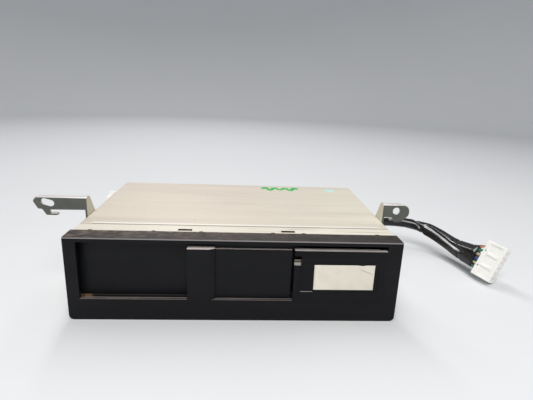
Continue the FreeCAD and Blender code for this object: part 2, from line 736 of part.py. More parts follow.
def make_magazine():
    """The magazine's shell: a tray of walls with ledges for six trays and an open right side."""
    low = "magazine_floor"
    block = box(("magazine_left", "magazine_right"), ("magazine_front", "magazine_rear"), (low, "54.5"))
    room = box(("magazine_left + magazine_wall", "magazine_right + 1"),
               ("magazine_front + 2", "magazine_rear - magazine_wall"), (f"{low} + magazine_wall", "56"))
    ledges = []
    for level in range(6):
        height = tray_height(level)
        span = (f"{height} - 1.3", f"{height} - 0.25")
        across = ("magazine_left + 1", "magazine_right - 0.5")
        ledges.append(box(across, ("magazine_front + 1", "tray_front + 2"), span))
        ledges.append(box(across, ("tray_rear - 2", "magazine_rear - 1"), span))
    doorway = box(("-2", "magazine_right + 1"), ("tray_rear - 5", "magazine_rear + 1"), (f"{low} + 2", "54"))
    latch = box(("9.8", "magazine_right + 1"), ("49.6", "56"), (f"{low} - 1", f"{low} + magazine_wall"))
    grooves = [box(("magazine_left + 8", "magazine_right - 26"),
                   ("magazine_front - 1", "magazine_front + 0.5"),
                   (f"{tray_height(level)} + 0.6", f"{tray_height(level)} + 1.4")) for level in range(6)]
    thumb = box(("magazine_right - 20", "magazine_right - 4"), ("magazine_front - 1", "magazine_front + 1.2"),
                ("26", "48"))
    walls = cut(block, room, latch, thumb, *grooves)
    keep(cut(fuse(walls, *ledges), doorway), "magazine_shell")
    lid = box(("magazine_left", "magazine_right"), ("magazine_front", "magazine_rear"),
              ("magazine_top - magazine_wall", "magazine_top"))
    relief = box(("-80", "-20"), ("40", "130"), ("magazine_top - 0.4", "magazine_top + 1"))
    keep(cut(lid, relief), "magazine_lid")


def make_tray(level):
    """A disc tray: a round recess, a slot that lets the playing unit in, and a notch for the puller."""
    height = tray_height(level)
    top = f"{height} + tray_thick"
    plate = box(("tray_left", "tray_right"), ("tray_front", "tray_rear"), (height, top))
    recess = rod("z", ("disc_place", "disc_depth"), (f"{height} + 1.4", f"{top} + 1"), "disc_recess")
    hole = rod("z", ("disc_place", "disc_depth"), (f"{height} - 1", f"{top} + 1"), "tray_hole")
    slot = box(("disc_place", "tray_right + 1"), ("disc_depth - tray_slot", "disc_depth + tray_slot"),
               (f"{height} - 1", f"{top} + 1"))
    notch = box(("0", "6"), ("tray_rear - 4.5", "tray_rear + 1"), (f"{height} - 1", f"{top} + 1"))
    thumb = rod("z", ("disc_place - 58", "tray_front"), (f"{height} - 1", f"{top} + 1"), "6")
    keep(cut(plate, recess, hole, slot, notch, thumb), f"tray_{level + 1}")


# ---- lift ----

def inclined_slot(x, depth):
    """A slanting slot for one lift pin, its upper end at the pin's rest place."""
    tilt = FreeCAD.Rotation(Vector(1, 0, 0), -90) * FreeCAD.Rotation(Vector(0, 0, 1), -45)
    reach = "lift_travel * sqrt(2)"
    ends = [rod("z", (at, "0"), ("0", "4"), "guide_width / 2") for at in ("0", f"-({reach})")]
    bar = box((f"-({reach})", "0"), ("-guide_width / 2", "guide_width / 2"), ("0", "4"))
    slot = fuse(*ends, bar)
    slot.Placement = FreeCAD.Placement(Vector(), tilt)
    place(slot, x, depth, "pin_height")
    return slot


def make_cam(label, front):
    """A lift cam: a plate with two slanting slots and a rack that the sync shaft drives."""
    back = front + 1.2
    plate = box(("23", "90.5"), (front, back), ("5.5", "42.5"))
    pitch_line = SIZES["shaft_height"] + SMALL_RADIUS
    rack = feature(rack_shape((-13, 24), SIZES["shaft_place"], pitch_line, 13.2, (front, back), -1))
    slots = [inclined_slot(x, front - 1) for x in ("pin_first", "pin_second")]
    keep(cut(fuse(plate, rack), *slots), label)


def make_frame():
    """The lift's frame: two upright plates with guide slots, joined by strips on the floor."""
    pieces = []
    tools = []
    for near, far in ((19.8, 21.0), (161.4, 162.6)):
        pieces.append(box(("22.6", "112.8"), (near, far), ("sheet", "46")))
        pieces.append(box(("13.4", "23"), (near, far), ("sheet", "9.4")))
        for x in ("pin_first", "pin_second"):
            low = "pin_height - lift_travel"
            half = "guide_width / 2"
            tools.append(box((f"{x} - {half}", f"{x} + {half}"), (near - 1, far + 1), (low, "pin_height")))
            tools.append(rod("y", (x, low), (near - 1, far + 1), half))
            tools.append(rod("y", (x, "pin_height"), (near - 1, far + 1), half))
        tools.append(rod("y", ("shaft_place", "shaft_height"), (near - 1, far + 1), "1.5 + running_gap"))
    pieces.append(box(("22.6", "29"), ("20", "162"), ("sheet", "2.2")))
    pieces.append(box(("104", "112.8"), ("20", "162"), ("sheet", "2.2")))
    keep(cut(fuse(*pieces), *tools), "mechanism_frame")


def make_sync_shaft():
    """The cross shaft and its two pinions and worm wheel, which keep the cams level."""
    keep(rod("y", ("shaft_place", "shaft_height"), ("17.7", "165.2"), "1.5"), "sync_shaft")
    x = SIZES["shaft_place"]
    z = SIZES["shaft_height"]
    gears = []
    for front in (18.0, 163.2):
        gears.append(toward_back(gear_shape(SIZES["small_teeth"], MODULE, 1.2, -90), x, front, z))
    gears.append(toward_back(gear_shape(18, 0.5, 4, 0, 0.25), x, 88, z))
    wheels = [cut(feature(shape), rod("y", ("shaft_place", "shaft_height"), ("17", "166"), "1.5"))
              for shape in gears]
    keep(group(*wheels), "lift_gears")


def make_lift_motor():
    """The lift's motor on the floor and the worm on its spindle."""
    can = rod("x", ("90", "13"), ("-14", "8"), "3.8")
    nose = rod("x", ("90", "13"), ("8", "9.4"), "2.4")
    foot = box(("-12", "6"), ("87.4", "92.6"), ("7.6", "10"))
    bore = rod("x", ("90", "13"), ("-2", "10"), "0.8 + running_gap")
    keep(cut(fuse(can, nose, foot), bore), "lift_motor")
    spindle = rod("x", ("90", "13"), ("0", "13"), "0.8")
    screw = rod("x", ("90", "13"), ("12", "22.5"), "2")
    keep(fuse(spindle, screw), "lift_worm")


# ---- what rides on the lift ----

def make_carriage():
    """The lift carriage: a plate with upturned flanges and four pins for the cams."""
    low = "carriage_low"
    plate = box(("24", "112.5"), ("21.6", "161"), (low, f"{low} + 1.2"))
    front = box(("24", "112.5"), ("21.6", "22.8"), (low, "pin_height + 3"))
    rear = box(("24", "112.5"), ("159.8", "161"), (low, "pin_height + 3"))
    pins = []
    for x in ("pin_first", "pin_second"):
        pins.append(rod("y", (x, "pin_height"), ("17.8", "22"), "pin_radius"))
        pins.append(rod("y", (x, "pin_height"), ("160.6", "164.6"), "pin_radius"))
    motor = rod("z", ("play_place", "disc_depth"), (f"{low} - 1", f"{low} + 3"), "13.5")
    windows = [box(("72", "104"), span, (f"{low} - 1", f"{low} + 3"))
               for span in (("46", "76"), ("94", "124"))]
    feet = [rod("z", spot, (f"{low} - 1", f"{low} + 3"), "1.3") for spot in DAMPER_PLACES]
    keep(cut(fuse(plate, front, rear, *pins), motor, *windows, *feet), "lift_carriage")


DAMPER_PLACES = [(34, 40), (104, 40), (34, 134), (104, 134)]


def make_dampers():
    """Four waisted rubber mounts between the carriage and the deck."""
    dampers = []
    for x, y in DAMPER_PLACES:
        profile = [("0", "-1.2"), ("1.2", "-1.2"), ("1.2", "0"), ("4.2", "0"), ("4.2", "1"), ("3.2", "2.3"),
                   ("4.2", "3.7"), ("4.2", "4.7"), ("0", "4.7")]
        dampers.append(turned(profile, (x, y, "carriage_low + 1.2")))
    keep(group(*dampers), "rubber_dampers")


def make_rails():
    """The two rails that carry a tray while it plays."""
    walls = [(("23.4", "24.6"), ("23.4", "27")), (("145.4", "146.6"), ("143", "146.6"))]
    rails = []
    for wall, top in walls:
        upright = box(("24", "112.5"), wall, ("carriage_low + 1.2", "48"))
        shelf = box(("24", "112.5"), top, ("47.2", "48.5"))
        rails.append(fuse(upright, shelf))
    keep(group(*rails), "tray_rails")


def make_puller():
    """The bracket, rod, screw, motor and finger that draw a tray into the playing unit."""
    base = box(("-26", "112.4"), ("152.4", "160.6"), ("40", "41.2"))
    feet = [box((x, f"{x} + 5"), ("152.4", "159.6"), ("carriage_low + 1.2", "40.6")) for x in (28, 104)]
    ears = [box((x, f"{x} + 1.4"), ("152.4", "160.6"), ("40", "51")) for x in (-4.4, 111)]
    rod_bore = rod("x", ("puller_rod", "puller_height"), ("-5", "113"), "puller_radius")
    screw_bore = rod("x", ("puller_line", "puller_height"), ("-5", "113"), "puller_radius + running_gap")
    keep(cut(fuse(base, *feet, *ears), rod_bore, screw_bore), "puller_bracket")
    block = box(("-2", "8"), ("152.2", "160.6"), ("43.4", "50"))
    finger = box(("1", "5"), ("144.6", "154"), ("49.3", "51.7"))
    neck = box(("-1", "7"), ("152.2", "156"), ("49", "51.7"))
    bores = [rod("x", (y, "puller_height"), ("-3", "9"), "puller_radius + running_gap")
             for y in ("puller_rod", "puller_line")]
    keep(cut(fuse(block, finger, neck), *bores), "tray_puller")
    keep(rod("x", ("puller_line", "puller_height"), ("-6", "112.4"), "puller_radius"), "puller_screw")
    can = rod("x", ("puller_line", "puller_height"), ("-24", "-4.4"), "4.4")
    bore = rod("x", ("puller_line", "puller_height"), ("-7", "-4"), "puller_radius + running_gap")
    keep(cut(can, bore), "puller_motor")


def make_deck():
    """The floating deck: a plate with an upright at its right that carries the clamp's hinge."""
    top = "deck_low + deck_thick"
    plate = box(("28", "115.2"), ("29", "142"), ("deck_low", top))
    upright = box(("114", "115.2"), ("70", "100"), ("deck_low", "60.6"))
    ears = [box(("114", "118.4"), span, ("clamp_height - 3", "60.6"))
            for span in (("70", "71.2"), ("98.8", "100"))]
    opening = box(("72", "110"), ("70", "100"), ("deck_low - 1", f"{top} + 1"))
    motor = rod("z", ("play_place", "disc_depth"), ("deck_low - 1", f"{top} + 1"), "6")
    pin_bore = rod("y", ("clamp_axis", "clamp_height"), ("69", "101"), "1")
    arm_gap = box(("113", "115.4"), ("73", "97"), ("54.8", "61"))
    rod_posts = []
    for y, height in (("66", "43.4"), ("103", "43.4"), ("110", "44.4")):
        post_depth = (f"{y} - 2.4", f"{y} + 2.4")
        post_height = ("deck_low", f"{height} + 2.4")
        rod_posts.append(box(("111.4", "113.4"), post_depth, post_height))
        if y != "110":
            rod_posts.append(box(("60.6", "62.6"), post_depth, post_height))
    rod_bores = [rod("x", (y, "43.4"), ("60", "114"), "pin_radius") for y in ("66", "103")]
    rod_bores.append(rod("x", ("110", "44.4"), ("60", "114"), "pin_radius + running_gap"))
    keep(cut(fuse(plate, upright, *ears, *rod_posts), opening, motor, pin_bore, arm_gap, *rod_bores), "deck")


def make_spindle_motor():
    """The flat motor under the deck that turns the disc."""
    profile = [("1 + running_gap", "0"), ("12", "0"), ("12", "8.9"), ("5.8", "8.9"), ("5.8", "11"),
               ("1 + running_gap", "11")]
    keep(turned(profile, ("play_place", "disc_depth", "deck_low - 8.9")), "spindle_motor")


def make_turntable():
    """The turntable, its centring cone and its spindle."""
    profile = [("0", "-9.4"), ("1", "-9.4"), ("1", "2.4"), ("5", "2.4"), ("5", "4"), ("14", "4"),
               ("14", "6.2"), ("7.4", "6.2"), ("7.2", "7.6"), ("5.6", "8.4"), ("0", "8.4")]
    keep(turned(profile, ("play_place", "disc_depth", "deck_low + deck_thick - 0.5")), "turntable")


def make_pickup():
    """The optical pickup: a sled on two rods, a raised lens mount, a lens and a nut on the screw."""
    sled = box(("66.6", "80.8"), ("62.6", "106.4"), ("41.4", "45.4"))
    mount = box(("70.4", "80.8"), ("76", "94"), ("45", "47.4"))
    lens = rod("z", ("76.4", "disc_depth"), ("46", "48.2"), "2.8")
    nut = box(("67", "74"), ("106", "112.6"), ("42.4", "47.2"))
    bores = [rod("x", (y, "43.4"), ("60", "90"), "pin_radius + running_gap") for y in ("66", "103")]
    bores.append(rod("x", ("110", "44.4"), ("60", "90"), "pin_radius + running_gap"))
    lightening = box(("65", "69.6"), ("74", "96"), ("41", "46"))
    keep(cut(fuse(sled, mount, lens, nut), lightening, *bores), "optical_pickup")
    sled_rods = [rod("x", (y, "43.4"), ("60.6", "113.4"), "pin_radius") for y in ("66", "103")]
    puller_rod = rod("x", ("puller_rod", "puller_height"), ("-4.4", "112.4"), "puller_radius")
    keep(group(*sled_rods, puller_rod), "guide_rods")
    keep(rod("x", ("110", "44.4"), ("57", "113.4"), "pin_radius"), "sled_screw")
    can = rod("x", ("110", "44.4"), ("40", "59"), "3.8")
    keep(cut(can, rod("x", ("110", "44.4"), ("56", "60"), "pin_radius + running_gap")), "sled_motor")


def make_clamp():
    """The clamp arm on its pin, and the clamper that presses the disc down."""
    arm_body = doc.addObject("PartDesign::Body", "ClampArm")
    drawing = sketch_on(arm_body, "XY_Plane", "56.4")
    polygon(drawing, [("44", "78"), ("44", "92"), ("58", "98"),
                      ("114", "96.4"), ("114", "73.6"), ("58", "72")])
    pad(arm_body, drawing, "1.2")
    ribs = [box(("60", "114.5"), span, ("57", "59.8")) for span in (("74.2", "75.4"), ("94.6", "95.8"))]
    bridge = box(("112.5", "116.8"), ("73.6", "96.4"), ("56.4", "58.6"))
    barrel = rod("y", ("clamp_axis", "clamp_height"), ("73.6", "96.4"), "2")
    bore = rod("y", ("clamp_axis", "clamp_height"), ("69", "101"), "1 + running_gap")
    seat = rod("z", ("play_place", "disc_depth"), ("56", "60"), "4.4")
    keep(cut(fuse(arm_body, *ribs, bridge, barrel), bore, seat), "clamp_arm")
    keep(rod("y", ("clamp_axis", "clamp_height"), ("69.6", "100.4"), "1"), "clamp_pin")
    profile = [("0", "0"), ("6", "0"), ("6", "0.6"), ("14", "0.6"), ("14", "2.2"), ("4", "2.2"), ("4", "5"),
               ("6.4", "5"), ("6.4", "5.8"), ("0", "5.8")]
    keep(turned(profile, ("play_place", "disc_depth", "53.1")), "clamper")


# ---- eject ----

def make_eject():
    """The eject button with its long tail, and the lever that frees the magazine."""
    cap = fillet(box(("16.3", "21.3"), ("17.6", "22.4"), ("26", "46")), 1.0, front_edge)
    web = box(("18.2", "20.8"), ("21", "26"), ("10", "44"))
    tail = box(("18.2", "20.8"), ("25", "61"), ("10", "13"))
    keep(fuse(cap, web, tail), "eject_button")
    boss = rod("z", ("10", "66"), ("10.8", "13.4"), "3.2")
    nose = rod("z", ("19.4", "62.8"), ("10.8", "12.4"), "1.5")
    arm = lever_arm("10", "66", "19.4", "62.8", "1.5")
    stem = lever_arm("10", "66", "11.6", "52", "1.4")
    tooth = box(("10.6", "12.6"), ("50.5", "53.5"), ("10.8", "19.6"))
    bore = rod("z", ("10", "66"), ("10", "14"), "pin_radius + running_gap")
    keep(cut(fuse(boss, nose, arm, stem, tooth), bore), "latch_lever")


def front_edge(edge):
    """The edges round the button's face."""
    return edge.BoundBox.YMax < 17.61


def lever_arm(x, y, far_x, far_y, half):
    """A flat bar of even width between two points of the lever."""
    body = doc.addObject("PartDesign::Body", "Arm")
    drawing = sketch_on(body, "XY_Plane", "10.8")
    run = (float(far_x) - float(x), float(far_y) - float(y))
    length = math.hypot(*run)
    across = (-run[1] / length * float(half), run[0] / length * float(half))
    corners = [(float(x) + across[0], float(y) + across[1]), (float(x) - across[0], float(y) - across[1]),
               (float(far_x) - across[0], float(far_y) - across[1]),
               (float(far_x) + across[0], float(far_y) + across[1])]
    polygon(drawing, corners)
    pad(body, drawing, "1.6")
    return body


# ---- electronics and wiring ----

def make_board():
    """The main board under the magazine, with its chips, sockets and capacitors."""
    board = box(("-112", "12"), ("24", "160"), ("6", "7.6"))
    bores = [rod("z", (x, y), ("5", "9"), "1.1") for x, y in BOARD_POSTS]
    keep(cut(board, *bores), "main_board")
    screws = [fuse(rod("z", (x, y), ("7.6", "9"), "2.2"), rod("z", (x, y), ("2", "8"), "1.1"))
              for x, y in BOARD_POSTS]
    keep(group(*screws), "board_screws")
    parts = []
    for x, y, wide, deep, high in ((-90, 50, 22, 22, 2.6), (-50, 44, 14, 10, 2.2), (-88, 96, 16, 16, 2.4),
                                   (-50, 100, 18, 9, 2.2), (-24, 60, 10, 6, 2.0), (-60, 138, 12, 20, 6.0)):
        parts.append(box((x, x + wide), (y, y + deep), ("7.6", f"7.6 + {high}")))
    for x, y in ((-20, 120), (-8, 120), (-20, 134), (-100, 130)):
        parts.append(rod("z", (x, y), ("7.6", "15"), "4"))
    parts.append(box(("0", "11"), ("150.4", "159.4"), ("7.6", "11")))
    keep(group(*parts), "board_parts")


def make_ribbon():
    """The flat cable from the wiring socket along the floor to the board."""
    drop = box(("115.6", "116"), ("151", "159"), ("2.4", "21.4"))
    run = box(("12.6", "116"), ("151", "159"), ("2.4", "2.8"))
    rise = box(("12.6", "13"), ("151", "159"), ("2.4", "10"))
    tip = box(("11", "13"), ("151", "159"), ("9.6", "10"))
    keep(fuse(drop, run, rise, tip), "ribbon_cable")


def make_socket():
    """The wiring socket inside the right wall and the rubber grommet round the lead."""
    body = box(("113.4", "case_half - 2 * sheet"), ("149.5", "161"), ("21.4", "35"))
    keep(body, "wiring_socket")
    collar = rod("x", ("cable_depth", "cable_height"), ("case_half - 2 * sheet", "case_half"), "6.6")
    flange = rod("x", ("cable_depth", "cable_height"), ("case_half", "case_half + 2"), "8.6")
    nose = doc.addObject("Part::Cone", "Nose")
    nose.Placement = FreeCAD.Placement(Vector(), TURNS["x"])
    nose.Radius1 = 7.2
    nose.Radius2 = 5.4
    nose.Height = 9
    place(nose, "case_half + 2", "cable_depth", "cable_height")
    bore = rod("x", ("cable_depth", "cable_height"), ("case_half - 4", "case_half + 14"),
               "cable_radius + 0.1")
    keep(cut(fuse(collar, flange, nose), bore), "wiring_grommet")


# the lead's route by hand, from inside the grommet to where its wires fan out
ROUTE = [(121, 155.5, 28), (144, 155.5, 28), (168, 160.6, 28.6), (190, 160.2, 28), (207, 152.2, 25.6),
         (219, 137.6, 22), (226, 119.6, 18.6), (229.4, 103, 18.2), (232, 86, 20.6)]
# the flattening bundle: share of its length, half width, half thickness
BUNDLE = [(0.0, 4.41, 4.4), (0.05, 4.41, 4.4), (0.1, 4.41, 4.4), (0.3, 5.8, 5.0), (0.55, 8.2, 5.4),
          (0.8, 9.2, 5.2), (1.0, 10.6, 4.0)]


def rounded_path(points):
    """Straight runs joined by the largest tangent arcs that they leave room for."""
    spots = [Vector(*point) for point in points]
    edges = []
    start = spots[0]
    for before, corner, after in zip(spots, spots[1:], spots[2:]):
        into = (corner - before).normalize()
        out = (after - corner).normalize()
        shorter = min((corner - before).Length, (after - corner).Length)
        half_turn = into.getAngle(out) / 2
        setback = 0.45 * shorter
        first = corner - into * setback
        last = corner + out * setback
        bulge = setback * (1 / math.cos(half_turn) - 1) / math.tan(half_turn)
        middle = corner + (out - into).normalize() * bulge
        edges.append(Part.LineSegment(start, first).toShape())
        edges.append(Part.Arc(first, middle, last).toShape())
        start = last
    edges.append(Part.LineSegment(start, spots[-1]).toShape())
    return Part.Wire(edges)


def bundle_outline(path, share, half_wide, half_thick):
    """The bundle's outline at a share of its path, an ellipse whose long axis leans as the plug does."""
    steps = 400
    spots = path.discretize(Number=steps + 1)
    first = min(int(share * steps), steps - 1)
    ahead = (spots[first + 1] - spots[first]).normalize()
    centre = spots[-1] if share == 1 else spots[first]
    across = (PLUG_WIDE - ahead * PLUG_WIDE.dot(ahead)).normalize()
    outline = Part.Wire([Part.Ellipse(Vector(), half_wide, half_thick).toShape()])
    outline.Placement = FreeCAD.Placement(centre, FreeCAD.Rotation(across, ahead.cross(across), ahead, "XZY"))
    return outline


def make_lead():
    """The taped lead, which flattens towards its end, its six wires and the white plug."""
    path = rounded_path(ROUTE)
    solid = True
    tube = Part.makeLoft([bundle_outline(path, *row) for row in BUNDLE], solid)
    keep(feature(tube), "lead")
    end = Vector(*ROUTE[-1])
    wires = []
    for number in range(6):
        across = SIZES["cell_first"] + SIZES["cell_pitch"] * number
        entry = plug_point(across, 3.2, SIZES["plug_thick"] / 2)
        inner = end + PLUG_WIDE * (number - 2.5) * 3.2 - (entry - end).normalize() * 2
        reach = entry - inner
        wires.append(feature(Part.makeCylinder(SIZES["wire_radius"], reach.Length, inner, reach)))
    keep(group(*wires), "lead_wires")
    make_plug()


PLUG_WIDE = Vector(0.3916, 0.0745, 0.9171).normalize()
PLUG_LONG = Vector(0.5235, -0.8377, -0.1555)
PLUG_LONG = (PLUG_LONG - PLUG_WIDE * PLUG_LONG.dot(PLUG_WIDE)).normalize()
PLUG_DEEP = PLUG_WIDE.cross(PLUG_LONG)


def plug_point(wide, along, deep):
    """A point given in the plug's own directions, in the case's."""
    corner = Vector(SIZES["plug_corner_x"], SIZES["plug_corner_y"], SIZES["plug_corner_z"])
    return corner + PLUG_WIDE * wide + PLUG_LONG * along + PLUG_DEEP * deep


def make_plug():
    """The white plug: a housing with two rows of cells, three sunk panels on its faces and a latch."""
    housing = fillet(box(("0", "plug_wide"), ("0", "plug_long"), ("0", "plug_thick")), 0.6, along_plug)
    columns = [f"cell_first + cell_pitch * {column}" for column in range(6)]
    cells = [box((f"{middle} - cell_side / 2", f"{middle} + cell_side / 2"),
                 ("plug_long - 8", "plug_long + 1"), (low, f"{low} + cell_side"))
             for middle in columns for low in (2.2, 7.2)]
    entries = [box((f"{middle} - 2", f"{middle} + 2"), ("-1", "3"), ("2.6", "9.4")) for middle in columns]
    panels = [box((low, high), ("3.6", "plug_long - 3.4"), face)
              for low, high in ((2.2, 10.6), (13.2, 22.2), (24.8, 33.3))
              for face in (("-1", "0.7"), ("plug_thick - 0.7", "plug_thick + 1"))]
    ports = [box((middle - 0.7, middle + 0.7), ("1.2", "2.8"), ("-1", "2")) for middle in (9.65, 25.4)]
    latch = box(("13.6", "21.8"), ("5", "plug_long - 1"), ("plug_thick - 1", "plug_thick + 1.4"))
    plug = cut(fuse(cut(housing, *panels), latch), *ports, *cells, *entries)
    matrix = FreeCAD.Matrix(PLUG_WIDE.x, PLUG_LONG.x, PLUG_DEEP.x, 0,
                            PLUG_WIDE.y, PLUG_LONG.y, PLUG_DEEP.y, 0,
                            PLUG_WIDE.z, PLUG_LONG.z, PLUG_DEEP.z, 0,
                            0, 0, 0, 1)
    plug.Placement = FreeCAD.Placement(matrix)
    place(plug, "plug_corner_x", "plug_corner_y", "plug_corner_z")
    keep(plug, "plug")


def along_plug(edge):
    """The housing's edges along the way it mates."""
    return edge.BoundBox.YLength > SIZES["plug_long"] - 1


# ---- the whole ----

make_chassis()
make_cover()
make_screws()
make_front()
make_cover_panel()
make_label()
make_track()
make_top_guide()
make_front_leaf()
make_rear_leaf()
make_door_rack()
make_door_pinion()
make_brackets()
make_side_lug()
make_bay()
make_magazine()
for level in range(6):
    make_tray(level)
make_cam("front_lift_cam", 18.0)
make_cam("rear_lift_cam", 163.2)
make_frame()
make_sync_shaft()
make_lift_motor()
make_carriage()
make_dampers()
make_rails()
make_puller()
make_deck()
make_spindle_motor()
make_turntable()
make_pickup()
make_clamp()
make_eject()
make_board()
make_ribbon()
make_socket()
make_lead()
doc.recompute()

for item in doc.Objects:
    if "Invalid" in item.State or "Error" in item.State:
        raise RuntimeError(f"{item.Label} did not build: {item.State}")
for node in nodes:
    if node.Shape.isNull() or not node.Shape.isValid() or not node.Shape.Solids:
        raise RuntimeError(f"{node.Label} has no valid solid")
for node in nodes:
    node.Shape.exportStep(f"parts/{node.Label}.step")
print(f"{len(nodes)} pieces")
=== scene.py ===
"""The looks of a boot-mounted disc changer: finishes for its CAD pieces, and its taped lead, wires, paper
label, sticker and paint mark as shapes of their own.  Metres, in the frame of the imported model."""
import math

import bpy
import numpy as np
from mathutils import Matrix, Vector


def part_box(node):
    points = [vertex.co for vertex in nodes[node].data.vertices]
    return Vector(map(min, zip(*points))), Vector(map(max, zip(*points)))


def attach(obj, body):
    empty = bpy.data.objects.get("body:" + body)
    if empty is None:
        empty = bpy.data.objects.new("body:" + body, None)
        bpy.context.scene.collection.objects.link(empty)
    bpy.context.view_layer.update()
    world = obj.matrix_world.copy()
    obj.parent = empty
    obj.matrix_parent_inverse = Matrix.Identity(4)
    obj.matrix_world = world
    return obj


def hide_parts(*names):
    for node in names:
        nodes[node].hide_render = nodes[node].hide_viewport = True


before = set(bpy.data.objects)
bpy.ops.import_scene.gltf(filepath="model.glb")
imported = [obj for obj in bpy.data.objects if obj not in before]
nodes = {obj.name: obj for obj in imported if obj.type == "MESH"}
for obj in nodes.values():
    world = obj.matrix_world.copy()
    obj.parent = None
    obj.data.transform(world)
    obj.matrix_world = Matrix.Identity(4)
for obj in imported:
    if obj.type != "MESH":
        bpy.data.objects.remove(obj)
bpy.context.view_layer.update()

MM = 0.001
LID_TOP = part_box("top_cover")[1].z - 0.35 * MM
FRONT_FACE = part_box("front_bezel")[0].y


# ---------------------------------------------------------------- camera, floor and light

CAMERA_PLACE = (0.0026, FRONT_FACE - 0.2811, 0.1771)


def add_camera():
    """A camera a little above and in front, turned slightly right and tipped slightly clockwise."""
    yaw, pitch, roll = (math.radians(angle) for angle in (3.60, 15.95, 2.34))
    ahead = Vector((math.sin(yaw) * math.cos(pitch), math.cos(yaw) * math.cos(pitch), -math.sin(pitch)))
    level_right = Vector((math.cos(yaw), -math.sin(yaw), 0))
    level_up = level_right.cross(ahead)
    right = level_right * math.cos(roll) + level_up * math.sin(roll)
    up = level_up * math.cos(roll) - level_right * math.sin(roll)
    lens = bpy.data.cameras.new("view")
    lens.sensor_width = 36
    lens.lens = 28.0
    lens.clip_start = 0.01
    camera = bpy.data.objects.new("view", lens)
    turn = Matrix((right, up, -ahead)).transposed().to_4x4()
    camera.matrix_world = Matrix.Translation(CAMERA_PLACE) @ turn
    bpy.context.scene.collection.objects.link(camera)
    bpy.context.scene.camera = camera


def add_lamp(name, place, target, size, watts, tint):
    """A soft lamp at a place, aimed at a target; its size is its width and its height."""
    light = bpy.data.lights.new(name, "AREA")
    light.shape = "RECTANGLE"
    light.size, light.size_y = size
    light.energy = watts
    light.color = tint
    lamp = bpy.data.objects.new(name, light)
    aim = Vector(target) - Vector(place)
    lamp.matrix_world = Matrix.Translation(place) @ aim.to_track_quat("-Z", "Y").to_matrix().to_4x4()
    bpy.context.scene.collection.objects.link(lamp)


def add_stage():
    """A pale floor that is level within a radius and past it rises as the square of the distance, up to a
    limit, so that it is its own backdrop from every side; a lamp in front, one behind, and a dim even sky."""
    half_side, level_radius, rise, highest = 3.3, 1.7, 0.9, 2.3
    spread = np.linspace(-half_side, half_side, 121)
    across, along = np.meshgrid(spread, spread)
    high = np.minimum(rise * np.clip(np.hypot(across, along) - level_radius, 0, None) ** 2, highest)
    floor = grid_piece("pale_floor", np.stack([across, along, high], -1))
    floor.data.materials.append(floor_finish())
    add_lamp("front_high", (0.0, -1.0, 1.3), (0, 0, 0.03), (1.0, 1.0), 22, (1.0, 0.985, 0.96))
    add_lamp("back_high", (-0.1, 0.7, 1.4), (0.1, 0, 0.03), (0.2, 1.6), 11, (1.0, 0.98, 0.97))
    world = bpy.data.worlds.new("room")
    world.use_nodes = True
    sky = world.node_tree.nodes["Background"]
    sky.inputs["Color"].default_value = (0.86, 0.9, 0.95, 1)
    sky.inputs["Strength"].default_value = 0.32
    bpy.context.scene.world = world
    bpy.context.scene.view_settings.view_transform = "Standard"


# ---------------------------------------------------------------- shapes from grids

def grid_piece(name, points, closed_across=False):
    """A smooth mesh of quads over a grid of points, whose rows run along and columns across; with
    closed_across the last column joins the first, as round a tube."""
    rows, columns = points.shape[:2]
    index = np.arange(rows * columns).reshape(rows, columns)
    if closed_across:
        index = np.concatenate([index, index[:, :1]], axis=1)
    quads = np.stack([index[:-1, :-1], index[:-1, 1:], index[1:, 1:], index[1:, :-1]], -1).reshape(-1, 4)
    mesh = bpy.data.meshes.new(name)
    mesh.from_pydata(points.reshape(-1, 3).tolist(), [], quads.tolist())
    mesh.polygons.foreach_set("use_smooth", np.full(len(quads), True))
    mesh.update()
    piece = bpy.data.objects.new(name, mesh)
    bpy.context.scene.collection.objects.link(piece)
    return piece


def unit(vectors):
    """Vectors, or one, scaled to a length of one."""
    return vectors / np.linalg.norm(vectors, axis=-1, keepdims=True)


def square_ways(path, lean):
    """At each point of a path, the part of lean that is square to the path, and the way square to both."""
    tangent = unit(np.gradient(path, axis=0))
    side = unit(lean - tangent * (tangent @ lean)[:, None])
    return side, np.cross(tangent, side)


def tube_points(path, radius, lean):
    """Rings round a path: ring i is path[i] + radius[i, j] (cos a side + sin a other), with the angle a going
    once round and side and other as square_ways gives them.  The end rings are drawn in to almost a point,
    which closes the tube."""
    drawn_in = 0.001
    side, other = square_ways(path, lean)
    angle = np.linspace(0, 2 * math.pi, radius.shape[1], endpoint=False)
    ring = np.cos(angle)[None, :, None] * side[:, None] + np.sin(angle)[None, :, None] * other[:, None]
    points = path[:, None] + radius[..., None] * ring
    first = path[0] + drawn_in * (points[0] - path[0])
    last = path[-1] + drawn_in * (points[-1] - path[-1])
    return np.concatenate([first[None], points, last[None]])


def hermite(start, start_way, end, end_way, count):
    """Points of the cubic that leaves start along start_way and reaches end along end_way."""
    t = np.linspace(0, 1, count)[:, None]
    return ((2 * t ** 3 - 3 * t ** 2 + 1) * start + (t ** 3 - 2 * t ** 2 + t) * start_way
            + (3 * t ** 2 - 2 * t ** 3) * end + (t ** 3 - t ** 2) * end_way)


# ---------------------------------------------------------------- finishes

# a colour Mix node's sockets, whose names its other kinds share, so that only their numbers are sure
MIX_BELOW, MIX_OVER, MIX_RESULT = 6, 7, 2


